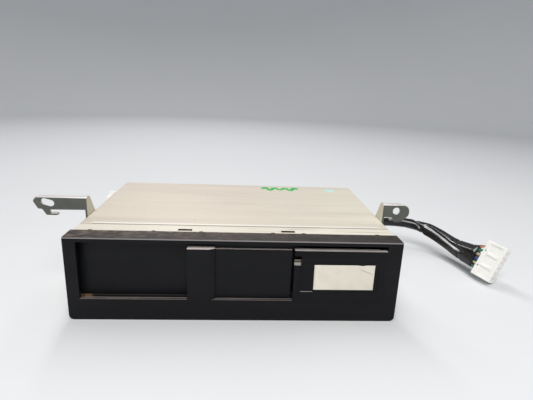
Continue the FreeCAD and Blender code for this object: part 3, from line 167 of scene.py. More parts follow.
class Finish:
    """A material under construction: its nodes, its principled shader and short ways to add patterns."""

    def __init__(self, name, colour, roughness, metallic=0.0, specular=0.5):
        self.material = bpy.data.materials.new(name)
        self.material.use_nodes = True
        self.tree = self.material.node_tree
        self.shader = self.tree.nodes["Principled BSDF"]
        self.shader.inputs["Base Color"].default_value = (*colour, 1)
        self.shader.inputs["Roughness"].default_value = roughness
        self.shader.inputs["Metallic"].default_value = metallic
        self.shader.inputs["Specular IOR Level"].default_value = specular
        self.material.diffuse_color = (*colour, 1)
        self.colour = (*colour, 1)
        self.relief = None

    def node(self, kind, **settings):
        """A node with its settings; a setting whose name is a socket's fills or links that socket."""
        made = self.tree.nodes.new(kind)
        for key, value in settings.items():
            if key in made.inputs.keys():
                self.feed(made.inputs[key], value)
            else:
                setattr(made, key, value)
        return made

    def feed(self, socket, value):
        """Link a socket to another node's output, or give it a plain value."""
        if isinstance(value, bpy.types.NodeSocket):
            self.tree.links.new(value, socket)
        else:
            socket.default_value = value

    def coordinates(self, stretch=(1, 1, 1)):
        """Object coordinates in metres, stretched by a factor along each axis."""
        source = self.node("ShaderNodeTexCoord").outputs["Object"]
        mapping = self.node("ShaderNodeMapping", Vector=source)
        mapping.inputs["Scale"].default_value = stretch
        return mapping.outputs["Vector"]

    def noise(self, scale, detail, stretch=(1, 1, 1)):
        """Cloudy noise from 0 to 1; scale counts its waves per metre."""
        made = self.node("ShaderNodeTexNoise", Vector=self.coordinates(stretch))
        made.inputs["Scale"].default_value = scale
        made.inputs["Detail"].default_value = detail
        made.inputs["Roughness"].default_value = 0.55
        return made.outputs["Fac"]

    def band(self, value, low, high, bottom=0.0, top=1.0):
        """A value remapped so that low to high becomes bottom to top, clamped."""
        made = self.node("ShaderNodeMapRange", Value=value)
        for key, amount in (("From Min", low), ("From Max", high), ("To Min", bottom), ("To Max", top)):
            made.inputs[key].default_value = amount
        return made.outputs["Result"]

    def product(self, first, second):
        """Two values multiplied."""
        made = self.node("ShaderNodeMath", operation="MULTIPLY")
        self.feed(made.inputs[0], first)
        self.feed(made.inputs[1], second)
        return made.outputs[0]

    def tint(self, share, colour):
        """Blend a colour over the base by a share, after the tints already there."""
        made = self.node("ShaderNodeMix", data_type="RGBA")
        self.feed(made.inputs["Factor"], share)
        self.feed(made.inputs[MIX_BELOW], self.colour)
        made.inputs[MIX_OVER].default_value = (*colour, 1)
        self.colour = made.outputs[MIX_RESULT]
        self.tree.links.new(self.colour, self.shader.inputs["Base Color"])

    def shine(self, value):
        """Drive the roughness by a value."""
        self.tree.links.new(value, self.shader.inputs["Roughness"])

    def bump(self, value, depth):
        """Raise the surface by a value times a depth in metres, over the relief already there."""
        made = self.node("ShaderNodeBump", Height=value)
        made.inputs["Distance"].default_value = depth
        made.inputs["Strength"].default_value = 1.0
        if self.relief:
            self.tree.links.new(self.relief, made.inputs["Normal"])
        self.relief = made.outputs["Normal"]
        self.tree.links.new(self.relief, self.shader.inputs["Normal"])

    def facing(self, axis, low, high):
        """1 on faces that look either way along an axis, 0 on the others."""
        normal = self.node("ShaderNodeNewGeometry").outputs["Normal"]
        parts = self.node("ShaderNodeSeparateXYZ", Vector=normal)
        size = self.node("ShaderNodeMath", operation="ABSOLUTE")
        self.feed(size.inputs[0], parts.outputs[axis])
        return self.band(size.outputs[0], low, high)

    def facing_up(self, low=0.35, high=0.95):
        """1 on faces that look up, 0 on upright and downward ones; low and high bound the change."""
        normal = self.node("ShaderNodeNewGeometry").outputs["Normal"]
        parts = self.node("ShaderNodeSeparateXYZ", Vector=normal)
        return self.band(parts.outputs["Z"], low, high)

    def place(self, axis):
        """One object coordinate, in metres."""
        source = self.node("ShaderNodeTexCoord").outputs["Object"]
        return self.node("ShaderNodeSeparateXYZ", Vector=source).outputs[axis]

    def span(self, axis, low, high, bottom=0.0, top=1.0):
        """One object coordinate, remapped as band does."""
        return self.band(self.place(axis), low, high, bottom, top)

    def behind_front(self, low, high, bottom=0.0, top=1.0):
        """The distance behind the front's face, in metres, remapped as band does."""
        return self.span("Y", FRONT_FACE + low, FRONT_FACE + high, bottom, top)

    def above_lid(self, low, high):
        """The height over the lid's sheet, in metres, remapped as band does."""
        return self.span("Z", LID_TOP + low, LID_TOP + high)


def floor_finish():
    """Pale matt paper."""
    made = Finish("floor_paper", (0.72, 0.73, 0.745), 0.9, specular=0.05)
    made.tint(made.band(made.noise(3.0, 4), 0.3, 0.7, 0, 0.25), (0.66, 0.67, 0.69))
    return made.material


def black_moulding(name, colour, dust_and_top_highlight, roughness, least=0.45):
    """Fine-grained black plastic: a dusty tint and a painted highlight on what faces up, at its thinnest a
    given share, faint wipe marks and a matt moulded grain."""
    made = Finish(name, colour, roughness, specular=0.18)
    patchy = made.band(made.noise(60, 5), 0.3, 0.75, least, 1.0)
    made.tint(made.band(made.noise(26, 4, (1, 1, 2.5)), 0.45, 0.8, 0, 0.35), tuple(2.1 * c for c in colour))
    # painted top highlight mixed with a dusty tint on faces that look up
    made.tint(made.product(made.facing_up(0.2, 0.7), patchy), dust_and_top_highlight)
    wipes = made.noise(18, 3, (1, 1, 5))
    made.shine(made.band(wipes, 0.35, 0.7, roughness - 0.07, roughness + 0.12))
    made.bump(made.noise(2600, 2), 0.00003)
    return made


def bezel_finish():
    """The front's black plastic, whose top face has brown grime that gathers at its left and back edges."""
    made = black_moulding("front_plastic", (0.0045, 0.0045, 0.0056), (0.075, 0.062, 0.056), 0.5)
    wiped = made.band(made.noise(150, 5, (0.4, 1, 1)), 0.44, 0.62, 0, 0.7)
    made.tint(made.product(made.facing_up(), wiped), (0.028, 0.024, 0.023))
    # brown grime, thickest at the left, then rusty spots along the back
    left = made.span("X", -0.115, -0.02, 1, 0.3)
    grime = made.product(left, made.band(made.noise(260, 4, (0.5, 1, 1)), 0.47, 0.62))
    made.tint(made.product(made.facing_up(), grime), (0.125, 0.100, 0.085))
    rear = made.behind_front(0.009, 0.015)
    spots = made.product(rear, made.band(made.noise(330, 3), 0.52, 0.6))
    made.tint(made.product(made.facing_up(), made.product(spots, 0.7)), (0.17, 0.12, 0.085))
    # the right half is cleaner, and the hooks over the lid are plain black
    cleaner = made.span("X", 0.0, 0.1, 0, 0.65)
    made.tint(made.product(made.facing_up(), cleaner), (0.03, 0.026, 0.026))
    hooks = made.behind_front(0.0160, 0.0162)
    made.tint(hooks, (0.006, 0.0055, 0.0055))
    # a painted highlight along the front's upper edge
    edge_highlight = made.behind_front(0.0002, 0.0009, 1, 0)
    made.tint(made.product(made.facing_up(0.25, 0.6), made.product(edge_highlight, 0.8)), (0.26, 0.245, 0.245))
    return made.material


def panel_finish():
    """The panel's plain black plastic, with no dusty tint in the paper's recess and beside the notch, and
    painted highlights with a dusty tint on the steps in the notch."""
    # its pale tint on faces that look up is a painted highlight on the top ledge, with a dusty tint
    made = black_moulding("panel_plastic", (0.0028, 0.0028, 0.0040), (0.50, 0.46, 0.44), 0.5, 0.7)
    under = made.product(made.span("X", 0.0575, 0.0580), made.span("Z", 0.0275, 0.0265))
    made.tint(under, (0.004, 0.004, 0.005))
    beside = made.product(made.span("Z", 0.044, 0.045), made.span("Z", 0.054, 0.053))
    made.tint(made.product(beside, made.span("X", 0.0485, 0.0490)), (0.004, 0.004, 0.005))
    # painted highlights with a dusty tint on the notch's two steps, brownish on the upper and pale grey on
    # the lower
    inside = made.product(made.span("X", 0.0481, 0.0479), made.behind_front(-0.0003, -0.0001))
    for low, high, colour in ((0.0493, 0.0508, (0.15, 0.125, 0.11)), (0.0469, 0.0485, (0.36, 0.35, 0.33))):
        step = made.product(made.span("Z", low - 0.0001, low), made.span("Z", high + 0.0001, high))
        made.tint(made.product(inside, made.product(step, 0.9)), colour)
    return made.material


def lid_finish():
    """Dull cream zinc sheet: cloudy passivation, rolling streaks along its width, hairline scratches, a few
    specks, painted shade in its slots and along its bead, a painted highlight on the bead's top, and grime
    where it meets the front."""
    made = Finish("lid_zinc", (0.66, 0.59, 0.50), 0.44, metallic=0.15)
    made.tint(made.band(made.noise(7, 4), 0.35, 0.7, 0, 0.5), (0.70, 0.62, 0.54))
    made.tint(made.span("X", -0.02, 0.13, 0, 0.6), (0.80, 0.775, 0.645))
    made.tint(made.band(made.noise(30, 3, (0.05, 1, 1)), 0.42, 0.72, 0, 0.45), (0.56, 0.505, 0.43))
    made.tint(made.band(made.noise(150, 4, (0.03, 1, 1)), 0.52, 0.7, 0, 0.3), (0.46, 0.42, 0.36))
    # the strip between the front and the bead is rubbed brighter
    strip = made.behind_front(0.031, 0.0315, 1, 0)
    made.tint(made.product(strip, 0.5), (0.84, 0.80, 0.70))
    # hairline scratches run along the bead
    scratch = made.product(made.band(made.noise(620, 2, (0.02, 1, 1)), 0.60, 0.64),
                           made.band(made.noise(16, 2), 0.48, 0.6))
    near_bead = made.behind_front(0.05, 0.03)
    made.tint(made.product(scratch, made.product(near_bead, 0.75)), (0.27, 0.24, 0.20))
    made.tint(made.product(made.band(made.noise(420, 1), 0.765, 0.79), 0.8), (0.3, 0.27, 0.22))
    # a painted highlight along the bead's top, and painted shade on its flanks and the slots' walls
    bead_highlight = made.above_lid(0.0001, 0.0003)
    made.tint(made.product(bead_highlight, 0.6), (0.93, 0.91, 0.86))
    # painted shade on faces below the lid's top that look to the front or back
    on_top = made.above_lid(-0.0003, -0.0001)
    made.tint(made.product(made.facing("Y", 0.5, 0.8), made.product(on_top, 0.9)), (0.13, 0.115, 0.09))
    # a broken line of painted shade lies along the bead's front
    bead_front_shade = made.product(made.behind_front(0.0306, 0.0310), made.behind_front(0.0320, 0.0316))
    broken = made.band(made.noise(60, 2, (0.3, 1, 1)), 0.3, 0.6, 0.35, 0.8)
    made.tint(made.product(bead_front_shade, broken), (0.30, 0.265, 0.21))
    # painted shade inside the slots by the front, and dirt gathers where the lid meets the front
    sunk = made.above_lid(-0.0001, -0.0003)
    inside = made.product(sunk, made.behind_front(0.024, 0.0235))
    made.tint(inside, (0.035, 0.03, 0.026))
    edge = made.behind_front(0.0164, 0.0185, 1, 0)
    made.tint(made.product(edge, made.band(made.noise(160, 3), 0.4, 0.62)), (0.28, 0.23, 0.18))
    made.shine(made.band(made.noise(34, 4, (0.2, 1, 1)), 0.3, 0.7, 0.34, 0.54))
    made.bump(made.noise(900, 3, (0.2, 1, 1)), 0.00002)
    return made.material


def ear_finish():
    """Plated sheet whose broad faces have gone dull grey-green, with side plates painted paler as if lit by
    light reflected from the lid, rubbed patches, and painted highlights on edges that look up."""
    made = Finish("ear_plating", (0.09, 0.094, 0.082), 0.45, metallic=0.3)
    made.tint(made.band(made.noise(90, 4), 0.4, 0.75, 0, 0.5), (0.145, 0.148, 0.125))
    made.tint(made.band(made.noise(240, 3), 0.62, 0.75, 0, 0.6), (0.06, 0.062, 0.052))
    # painted light: faces that look sideways, the side plates, are painted pale as if lit by light reflected
    # from the lid
    sideways = made.facing("X", 0.6, 0.9)
    made.tint(made.product(sideways, 0.9), (0.74, 0.72, 0.59))
    made.tint(made.product(sideways, made.band(made.noise(170, 3), 0.5, 0.75, 0, 0.5)), (0.50, 0.50, 0.38))
    # painted highlight on edges that look up
    made.tint(made.product(made.facing_up(0.2, 0.7), 0.95), (0.70, 0.67, 0.65))
    made.shine(made.band(made.noise(120, 3), 0.3, 0.7, 0.34, 0.52))
    made.bump(made.noise(1500, 2), 0.00002)
    return made.material


def plain_sheet(name, colour, roughness=0.38):
    """Zinc-plated sheet with a directional grain and soft clouds."""
    streak = (0.15, 1, 1)
    made = Finish(name, colour, roughness, metallic=0.85)
    made.tint(made.band(made.noise(60, 3), 0.35, 0.7, 0, 0.5), tuple(0.85 * c for c in colour))
    made.shine(made.band(made.noise(300, 3, streak), 0.3, 0.7, roughness - 0.08, roughness + 0.1))
    made.bump(made.noise(1400, 2, streak), 0.000015)
    return made


def chassis_finish():
    """The lower case's zinc-plated sheet, with painted shade, nearly black, where it shows through the gap
    beside the door.
    """
    made = plain_sheet("case_zinc", (0.6, 0.59, 0.54))
    # painted shade on the wall seen through the gap beside the door
    gap = made.product(made.span("X", 0.0350, 0.0355), made.behind_front(0.0172, 0.0168))
    made.tint(made.product(gap, 0.95), (0.006, 0.006, 0.006))
    return made.material


def turned_metal(name, colour, roughness=0.22):
    """Ground or turned metal with very fine rings."""
    made = Finish(name, colour, roughness, metallic=1.0)
    made.tint(made.band(made.noise(150, 3), 0.4, 0.7, 0, 0.3), tuple(0.8 * c for c in colour))
    made.bump(made.noise(3500, 1, (4, 0.4, 4)), 0.000006)
    return made.material


def moulded(name, colour, roughness, softness=0.0):
    """Plain moulded plastic: faint flow clouds, a fine grain and, with softness, light that enters it."""
    made = Finish(name, colour, roughness, specular=0.45)
    made.tint(made.band(made.noise(70, 3), 0.35, 0.7, 0, 0.4), tuple(0.88 * c for c in colour))
    made.shine(made.band(made.noise(140, 3), 0.3, 0.7, roughness - 0.06, roughness + 0.08))
    made.bump(made.noise(1800, 2), 0.00002)
    made.shader.inputs["Subsurface Weight"].default_value = softness
    made.shader.inputs["Subsurface Scale"].default_value = 0.002
    return made.material


def soft_rubber(name, colour):
    """Matt rubber with a dusty bloom."""
    made = Finish(name, colour, 0.7, specular=0.3)
    made.tint(made.band(made.noise(220, 4), 0.45, 0.75, 0, 0.5), tuple(2.5 * c + 0.01 for c in colour))
    made.bump(made.noise(2200, 2), 0.00003)
    return made.material


def tape_finish():
    """Glossy black vinyl tape, softly creased, with a few dull scuffs and no gloss underneath."""
    made = Finish("tape_vinyl", (0.0045, 0.004, 0.0045), 0.2, specular=0.3)
    made.tint(made.band(made.noise(240, 3), 0.62, 0.8, 0, 0.35), (0.03, 0.027, 0.025))
    made.shine(made.band(made.noise(110, 3), 0.4, 0.75, 0.16, 0.3))
    made.bump(made.noise(110, 2), 0.0001)
    # below, the adhesive's dull rim and dust take the clear gloss away
    above = made.facing_up(-0.35, 0.35)
    made.feed(made.shader.inputs["Coat Weight"], made.band(above, 0, 1, 0.0, 0.85))
    made.shader.inputs["Coat Roughness"].default_value = 0.09
    return made.material


def paper_finish():
    """Cream label paper, paler at its left, foxed at its edges, with painted shade along its crease."""
    made = Finish("label_paper", (0.76, 0.715, 0.62), 0.55, specular=0.3)
    made.tint(made.span("X", 0.06, 0.104, 0, 0.6), (0.66, 0.625, 0.53))
    made.tint(made.band(made.noise(60, 4), 0.45, 0.7, 0, 0.5), (0.62, 0.565, 0.46))
    made.tint(made.band(made.noise(900, 2), 0.66, 0.75, 0, 0.4), (0.42, 0.37, 0.28))
    made.tint(made.product(made.span("X", 0.0598, 0.0585), 0.4), (0.45, 0.39, 0.31))
    # painted shade along one side of the crease, which runs down to the right from the upper edge
    slant = made.node("ShaderNodeMath", operation="MULTIPLY_ADD")
    made.feed(slant.inputs[0], made.place("X"))
    slant.inputs[1].default_value = 0.417
    made.feed(slant.inputs[2], made.place("Z"))
    crease_shade = made.product(made.band(slant.outputs[0], 0.08265, 0.08325),
                             made.band(slant.outputs[0], 0.08365, 0.0834))
    reach = made.product(made.span("X", 0.0925, 0.0945), made.span("X", 0.1035, 0.1020))
    made.tint(made.product(crease_shade, made.product(reach, 0.75)), (0.36, 0.33, 0.27))
    made.bump(made.noise(700, 3), 0.00004)
    return made.material


def board_finish():
    """Green lacquered laminate with a faint weave and darker tracks."""
    made = Finish("board_laminate", (0.03, 0.17, 0.075), 0.35)
    made.tint(made.band(made.noise(240, 2, (1, 0.2, 1)), 0.5, 0.56, 0, 0.6), (0.05, 0.25, 0.1))
    made.bump(made.noise(1600, 2), 0.00002)
    return made.material


def sill_finish():
    """The sill's black plastic, with a dusty tint and a painted highlight on top, painted shade behind its
    front channel, and a dried brown smear in its left end.
    """
    made = black_moulding("sill_plastic", (0.0065, 0.0065, 0.007), (0.30, 0.275, 0.265), 0.5)
    # painted shade on the sill's pieces behind the front channel
    behind = made.behind_front(0.0064, 0.0067)
    made.tint(made.product(behind, 0.85), (0.012, 0.011, 0.010))
    # the dried smear
    near_end = made.span("X", -0.1095, -0.1070, 1, 0)
    made.tint(made.product(near_end, made.band(made.noise(260, 3), 0.4, 0.52)), (0.17, 0.115, 0.06))
    return made.material


# ---------------------------------------------------------------- the lead, its wires and the plug

# the route of the lead, in millimetres from the front's face: out of the side, over and down to the plug
ROUTE_MM = [(121, 155.5, 28), (144, 155.5, 28), (168, 160.6, 28.6), (190, 160.2, 28), (207, 152.2, 25.6),
            (219, 137.6, 22), (226, 119.6, 18.6), (229.4, 103, 18.2), (232.7, 83.0, 20.4)]
DEPTH_SHIFT = FRONT_FACE * 1000
# one width for a bundle that widens from 8.4 to 24.2 mm, more than it measures at most places: it is set so
# that the wide end lies within what a cord of this width may reach
# the plug's corner by the wires, then its directions: across its row of cells, towards its mate, and deep
PLUG_CORNER_MM = (224.85, 73.68, 7.73)
PLUG_WIDE = np.array([0.3916, 0.0745, 0.9171])
PLUG_LONG = np.array([0.5235, -0.8377, -0.1555])
# the way the flat of the bundle looks: up and a little to the front and left
FLAT_WAY = np.array([-0.42, -0.345, 0.84])
# the bundle's half width and half thickness, in millimetres, at shares of its length
STATIONS = [0, 0.12, 0.3, 0.45, 0.52, 0.58, 0.78, 0.9, 1]
HALF_WIDE_MM = [4.2, 4.3, 4.8, 5.5, 5.8, 7.5, 8.4, 10.6, 12.1]
HALF_THICK_MM = [4.2, 4.2, 4.3, 4.5, 4.7, 5.3, 5.0, 4.6, 4.1]
# each facet of the bundle: its turn from the flat one, its drift, how far it is drawn in
FACETS = [(0.0, 0.05, 0.95), (0.8, 0.1, 0.99), (1.6, 0.35, 0.97), (2.4, -0.3, 0.93), (3.2, 0.25, 1.0),
          (4.0, 0.3, 0.95), (4.8, -0.35, 1.0), (5.6, 0.2, 0.97)]
# each pinch: its share of the length, how far it slants, its width and its depth, as shares
PINCHES = [(0.525, 0.035, 0.011, 0.17), (0.24, -0.02, 0.010, 0.09), (0.40, 0.03, 0.010, 0.05),
           (0.86, 0.03, 0.008, 0.09)]


def in_frame(point_mm):
    """A point counted from the front's face, in millimetres, as a point of the frame in metres."""
    x, y, z = point_mm
    return np.array([x, y + DEPTH_SHIFT, z]) * MM


def lead_line(count):
    """Evenly spaced points of the quadratic B-spline that the route's points steer."""
    curve = bpy.data.curves.new("lead_line", "CURVE")
    curve.dimensions = "3D"
    curve.resolution_u = 24
    spline = curve.splines.new("NURBS")
    spline.points.add(len(ROUTE_MM) - 1)
    for knot, place in zip(spline.points, ROUTE_MM):
        knot.co = (*in_frame(place), 1)
    spline.order_u = 3
    spline.use_endpoint_u = True
    holder = bpy.data.objects.new("lead_line", curve)
    mesh = bpy.data.meshes.new_from_object(holder)
    line = np.array([vertex.co for vertex in mesh.vertices], float)
    bpy.data.objects.remove(holder)
    bpy.data.meshes.remove(mesh)
    run = np.concatenate([[0], np.cumsum(np.linalg.norm(np.diff(line, axis=0), axis=1))])
    even = np.linspace(0, run[-1], count)
    return np.stack([np.interp(even, run, line[:, axis]) for axis in range(3)], -1)


def ellipse_reach(half_wide, half_thick, angle):
    """The distance from an ellipse's middle to its edge at an angle."""
    return half_wide * half_thick / np.hypot(half_thick * np.cos(angle), half_wide * np.sin(angle))


def faceted(angle, along, flat, half_wide, half_thick):
    """The radius of a rounded polygon whose facets touch an ellipse: the p-norm (sum over facets of
    max(0, cos(a - f) / d) ** p) ** (-1 / p), where f is the way a facet looks, which drifts along the bundle,
    and d its distance, that of the ellipse's tangent with the same f, drawn in a little."""
    power, sway = 11, 7.5
    total = np.zeros((len(along), angle.shape[1]))
    for turn, drift, drawn in FACETS:
        way = flat + turn + drift * np.sin(sway * along + 2 * turn)
        reach = np.hypot(half_wide * np.cos(way), half_thick * np.sin(way)) * drawn
        total += np.clip(np.cos(angle - way) / reach, 0, None) ** power
    return total ** (-1 / power)


def pinched(angle, along, flat):
    """How far turns of tape draw the bundle in: for each pinch a bell curve exp(-((s - r) / w) ** 2) along
    its share s of the length, whose middle r goes to and fro once round the bundle."""
    turned = 0.6
    pinch = np.zeros((len(along), angle.shape[1]))
    for place, slant, width, depth in PINCHES:
        ring = place + slant * np.sin(angle - flat - turned)
        pinch += depth * np.exp(-((along - ring) / width) ** 2)
    return pinch


def folded(angle, along, flat, half_wide, half_thick):
    """A fold that winds slowly round the bundle while its slope keeps looking one way: the radius of a
    straight line through the ellipse's edge at the fold's middle m and square to the way l it looks,
    e cos(m - l) / cos(a - l) with e the ellipse's reach at m, and the window of angles in which it counts,
    a flat-topped bell round m that fades in and out along the bundle."""
    start, length = 0.53, 0.40
    tilt, end_tilt, tilts_from, tilts_over = 0.02, 0.15, 0.75, 0.15
    ahead, winding = 0.05, 0.85
    half_window, narrowing, flatness, fade = 0.50, 0.16, 8, 4
    least_cosine = 0.35
    share = np.clip((along - start) / length, 0, 1)
    looks = flat + tilt + end_tilt * np.clip((along - tilts_from) / tilts_over, 0, 1)
    middle = looks + ahead + winding * share
    reach = ellipse_reach(half_wide, half_thick, middle)
    slope = reach * np.cos(middle - looks) / np.clip(np.cos(angle - looks), least_cosine, None)
    window = np.exp(-((angle - middle) / (half_window - narrowing * share)) ** flatness)
    return slope, window * np.clip(fade * np.sin(math.pi * share), 0, 1)


def make_lead():
    """The taped bundle, round at the case and flatter and wider towards the plug: rings whose radius goes
    from that of an ellipse over to the faceted one less its pinches, and within the fold's window to the
    fold's slope."""
    rings, around, round_part = 260, 128, 0.10
    line = lead_line(rings)
    along = np.linspace(0, 1, rings)[:, None]
    angle = np.linspace(0, 2 * math.pi, around, endpoint=False)[None]
    side, other = square_ways(line, PLUG_WIDE)
    flat = np.arctan2(other @ FLAT_WAY, side @ FLAT_WAY)[:, None]
    half_wide = np.interp(along, STATIONS, HALF_WIDE_MM) * MM
    half_thick = np.interp(along, STATIONS, HALF_THICK_MM) * MM
    free = np.clip((along - round_part) / round_part, 0, 1)
    radius = faceted(angle, along, flat, half_wide, half_thick) * free * (1 - pinched(angle, along, flat))
    radius = ellipse_reach(half_wide, half_thick, angle) * (1 - free) + radius
    slope, window = folded(angle, along, flat, half_wide, half_thick)
    radius = radius * (1 - window) + slope * window
    lead = grid_piece("lead_tape", tube_points(line, radius, PLUG_WIDE), closed_across=True)
    lead.data.materials.append(tape_finish())
    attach(lead, "case")
    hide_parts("lead")
    return lead, line


# the wires' colours, and their order in the plug's two rows
WIRE_COLOURS = {"green": (0.02, 0.24, 0.12), "orange": (0.78, 0.33, 0.18), "cream": (0.72, 0.60, 0.38),
                "blue": (0.03, 0.13, 0.48), "grey": (0.5, 0.44, 0.40), "brown": (0.10, 0.05, 0.03)}
WIRE_ORDER = ["green", "cream", "blue", "cream", "green", "orange",
              "brown", "green", "brown", "grey", "green", "brown"]
WIRE_RADIUS = 0.00095


def make_wires(line):
    """Twelve thin wires in two rows, tubes along cubics that leave the bundle's flat end along its own way
    and reach the plug's cells along the plug's."""
    row_length = len(WIRE_ORDER) // 2
    set_back, ease = 0.005, 0.010
    start_pitch, start_gap, stagger = 0.0034, 0.0026, 0.45
    cell_pitch, row_pitch = 0.00525, 0.0048
    to_first, to_row, to_entry = 0.0044, 0.0036, 0.0026
    wide = unit(PLUG_WIDE)
    long = unit(PLUG_LONG - wide * (PLUG_LONG @ wide))
    deep = np.cross(wide, long)
    first_cell = in_frame(PLUG_CORNER_MM) + wide * to_first + deep * to_row + long * to_entry
    end = line[-1]
    way = unit(line[-1] - line[-8])
    across = unit(wide - way * (wide @ way))
    finishes = {name: moulded(f"wire_{name}", colour, 0.3) for name, colour in WIRE_COLOURS.items()}
    wires = []
    for number, name in enumerate(WIRE_ORDER):
        row, column = divmod(number, row_length)
        beside = column - (row_length - 1) / 2 + stagger * row
        start = end - way * set_back + across * beside * start_pitch + deep * (0.5 - row) * start_gap
        cell = first_cell + wide * cell_pitch * column + deep * row_pitch * row
        path = hermite(start, way * ease, cell, long * ease, 28)
        radius = np.full((len(path), 12), WIRE_RADIUS)
        wire = grid_piece(f"wire_{number + 1}", tube_points(path, radius, across), closed_across=True)
        wire.data.materials.append(finishes[name])
        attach(wire, "case")
        wires.append(wire)
    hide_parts("lead_wires")
    return wires


# ---------------------------------------------------------------- paper, sticker and paint

# the paper's corners on the panel: lower left, lower right, upper left, upper right, as X and Z
PAPER_MM = np.array([[[58.3, 27.0], [104.1, 27.1]], [[58.1, 47.3], [104.1, 47.5]]])


def make_label():
    """The blank label: a sheet blended between its four corners, whose height over the panel is a small
    ripple, the product of two sines, plus a bell-shaped ridge along a slanting crease, past which the corner
    lifts as the square of the distance; its upper edge dips in a bell curve by the crease."""
    low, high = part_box("paper_label")
    u, v = np.meshgrid(np.linspace(0, 1, 120), np.linspace(0, 1, 60))
    weights = np.stack([(1 - v) * (1 - u), (1 - v) * u, v * (1 - u), v * u], -1)
    flat = weights @ PAPER_MM.reshape(4, 2) * MM
    dip_height, ridge_height, lift_height, ripple_height = 0.0005, 0.0003, 0.0016, 0.00003
    paper_gap, furthest_out = 0.00018, 0.0003
    dip = dip_height * v ** 3 * np.exp(-((u - 0.79) / 0.05) ** 2)
    crease = (u - 0.76) * 0.95 + (v - 0.86)
    ridge = ridge_height * np.exp(-(crease / 0.03) ** 2) * np.clip(12 * (u - 0.74), 0, 1)
    lift = lift_height * np.clip((u - 0.8) + (v - 0.9), 0, 1) ** 2
    ripple = ripple_height * np.sin(7 * u + 1) * np.sin(5 * v)
    y = high.y - paper_gap - ripple - ridge - lift
    y = np.maximum(y, low.y - furthest_out)
    sheet = grid_piece("label_sheet", np.stack([flat[..., 0], y, flat[..., 1] - dip], -1))
    solid = sheet.modifiers.new("paper", "SOLIDIFY")
    solid.thickness = 0.00014
    solid.offset = 0
    sheet.data.materials.append(paper_finish())
    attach(sheet, "case")
    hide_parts("paper_label")


def make_sticker():
    """A bare round sticker on the lid: a disc in polar steps, whose height grows as the sixth power of the
    radius, so that only its edge stands a hair higher."""
    centre = in_frame((98, 152, 0))
    outer, height, edge_lift = 0.0058, 0.00012, 0.00006
    radius, angle = np.meshgrid(np.linspace(0.00001, outer, 8),
                                np.linspace(0, 2 * math.pi, 48, endpoint=False))
    x = centre[0] + radius * np.cos(angle)
    y = centre[1] + radius * np.sin(angle)
    z = LID_TOP + height + edge_lift * (radius / outer) ** 6
    rings = np.stack([x, y, z], -1).transpose(1, 0, 2)[:, ::-1]
    sticker = grid_piece("round_sticker", rings, closed_across=True)
    solid = sticker.modifiers.new("film", "SOLIDIFY")
    solid.thickness = 0.0001
    sticker.data.materials.append(moulded("sticker_film", (0.55, 0.78, 0.74), 0.4))
    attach(sticker, "case")


def make_paint_mark():
    """A loose stroke of a green paint pen on the lid: a strip along a sine whose height grows and shrinks as
    a slower sine does, and whose width swells and thins; across it the height falls as the fourth power."""
    start = in_frame((25, 154, 0))
    length, waves, sway = 0.038, 3.5, 0.0058
    edge_height, body = 0.00004, 0.0001
    along = np.linspace(0, 1, 220)
    x = start[0] + length * along
    y = start[1] + sway * np.sin(2 * math.pi * waves * along) * (0.75 + 0.25 * np.sin(9 * along))
    slope = np.gradient(y, x)
    half_width = 0.0021 + 0.0004 * np.sin(23 * along)
    across = np.linspace(-1, 1, 9)
    shift = half_width[:, None] * across[None] / np.sqrt(1 + slope[:, None] ** 2)
    px = x[:, None] - slope[:, None] * shift
    py = y[:, None] + shift
    pz = np.broadcast_to(LID_TOP + edge_height + body * (1 - across[None] ** 4), px.shape)
    mark = grid_piece("paint_mark", np.stack([px, py, pz], -1)[:, ::-1])
    mark.data.materials.append(moulded("pen_paint", (0.03, 0.46, 0.08), 0.4))
    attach(mark, "case")


# ---------------------------------------------------------------- the whole

def soften_edges(width, *names):
    """Merge a CAD piece's loose triangles and round its sharp edges by a small width."""
    for name in names:
        piece = nodes[name]
        weld = piece.modifiers.new("merge", "WELD")
        weld.merge_threshold = 0.002 * MM
        bevel = piece.modifiers.new("edges", "BEVEL")
        bevel.width = width
        bevel.segments = 2
        bevel.limit_method = "ANGLE"
        bevel.angle_limit = math.radians(35)


def paint(material, *names):
    """Give CAD pieces one finish."""
    for name in names:
        mesh = nodes[name].data
        mesh.materials.clear()
        mesh.materials.append(material)


add_camera()
lead, line = make_lead()
wires = make_wires(line)
add_stage()
make_label()
make_sticker()
make_paint_mark()

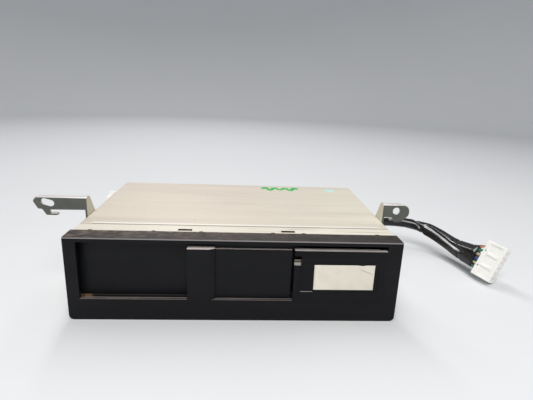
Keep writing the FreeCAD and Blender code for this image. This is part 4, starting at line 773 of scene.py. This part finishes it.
paint(bezel_finish(), "front_bezel")
# the leaves' pale tint on what faces up is mostly a painted highlight on their tops, with a dusty tint
paint(black_moulding("leaf_plastic", (0.0046, 0.0048, 0.006), (0.80, 0.71, 0.68), 0.42, 0.85).material,
      "front_door_leaf", "rear_door_leaf")
paint(panel_finish(), "fixed_cover_panel")
paint(sill_finish(), "door_track", "door_top_guide")
paint(lid_finish(), "top_cover")
paint(ear_finish(), "left_bracket", "right_bracket")
paint(plain_sheet("lug_zinc", (0.95, 0.94, 0.90), 0.5).material, "side_lug")
paint(chassis_finish(), "bottom_chassis")
paint(plain_sheet("frame_zinc", (0.6, 0.59, 0.54)).material,
      "mechanism_frame", "magazine_bay", "lift_carriage", "puller_bracket", "clamp_arm")
paint(turned_metal("screw_plating", (0.62, 0.58, 0.45), 0.3), "case_screws", "board_screws")
paint(turned_metal("ground_rod", (0.72, 0.72, 0.73), 0.15), "sync_shaft", "guide_rods", "puller_screw",
      "sled_screw", "clamp_pin")
paint(turned_metal("motor_nickel", (0.6, 0.59, 0.57), 0.28), "lift_motor", "puller_motor", "spindle_motor",
      "sled_motor")
paint(turned_metal("worm_brass", (0.72, 0.5, 0.2), 0.25), "lift_worm")
paint(moulded("gear_acetal", (0.78, 0.76, 0.69), 0.42, 0.15), "door_rack", "door_pinion", "front_lift_cam",
      "rear_lift_cam", "lift_gears", "tray_puller", "latch_lever")
paint(moulded("magazine_black", (0.028, 0.028, 0.031), 0.28), "magazine_shell", "magazine_lid")
paint(moulded("tray_grey", (0.075, 0.075, 0.08), 0.5), *(f"tray_{number}" for number in range(1, 7)))
paint(moulded("rail_black", (0.03, 0.03, 0.032), 0.5), "tray_rails", "turntable", "clamper", "board_parts")
paint(soft_rubber("damper_rubber", (0.02, 0.02, 0.02)), "rubber_dampers")
paint(soft_rubber("grommet_rubber", (0.014, 0.014, 0.014)), "wiring_grommet")
paint(plain_sheet("deck_black", (0.06, 0.06, 0.065), 0.5).material, "deck")
paint(turned_metal("pickup_zamak", (0.5, 0.5, 0.52), 0.4), "optical_pickup")
paint(moulded("button_grey", (0.11, 0.11, 0.12), 0.45), "eject_button")
paint(board_finish(), "main_board")
paint(moulded("ribbon_grey", (0.55, 0.55, 0.58), 0.4), "ribbon_cable")
paint(moulded("socket_natural", (0.7, 0.68, 0.62), 0.45, 0.1), "wiring_socket")
paint(moulded("plug_nylon", (0.90, 0.89, 0.85), 0.38, 0.2), "plug")
soften_edges(0.0003, "front_bezel", "front_door_leaf", "fixed_cover_panel")
soften_edges(0.00018, "left_bracket", "right_bracket", "side_lug", "plug", "door_track")

for piece_name in ("round_sticker", "paint_mark", "label_sheet"):
    bpy.data.objects[piece_name].data.validate()
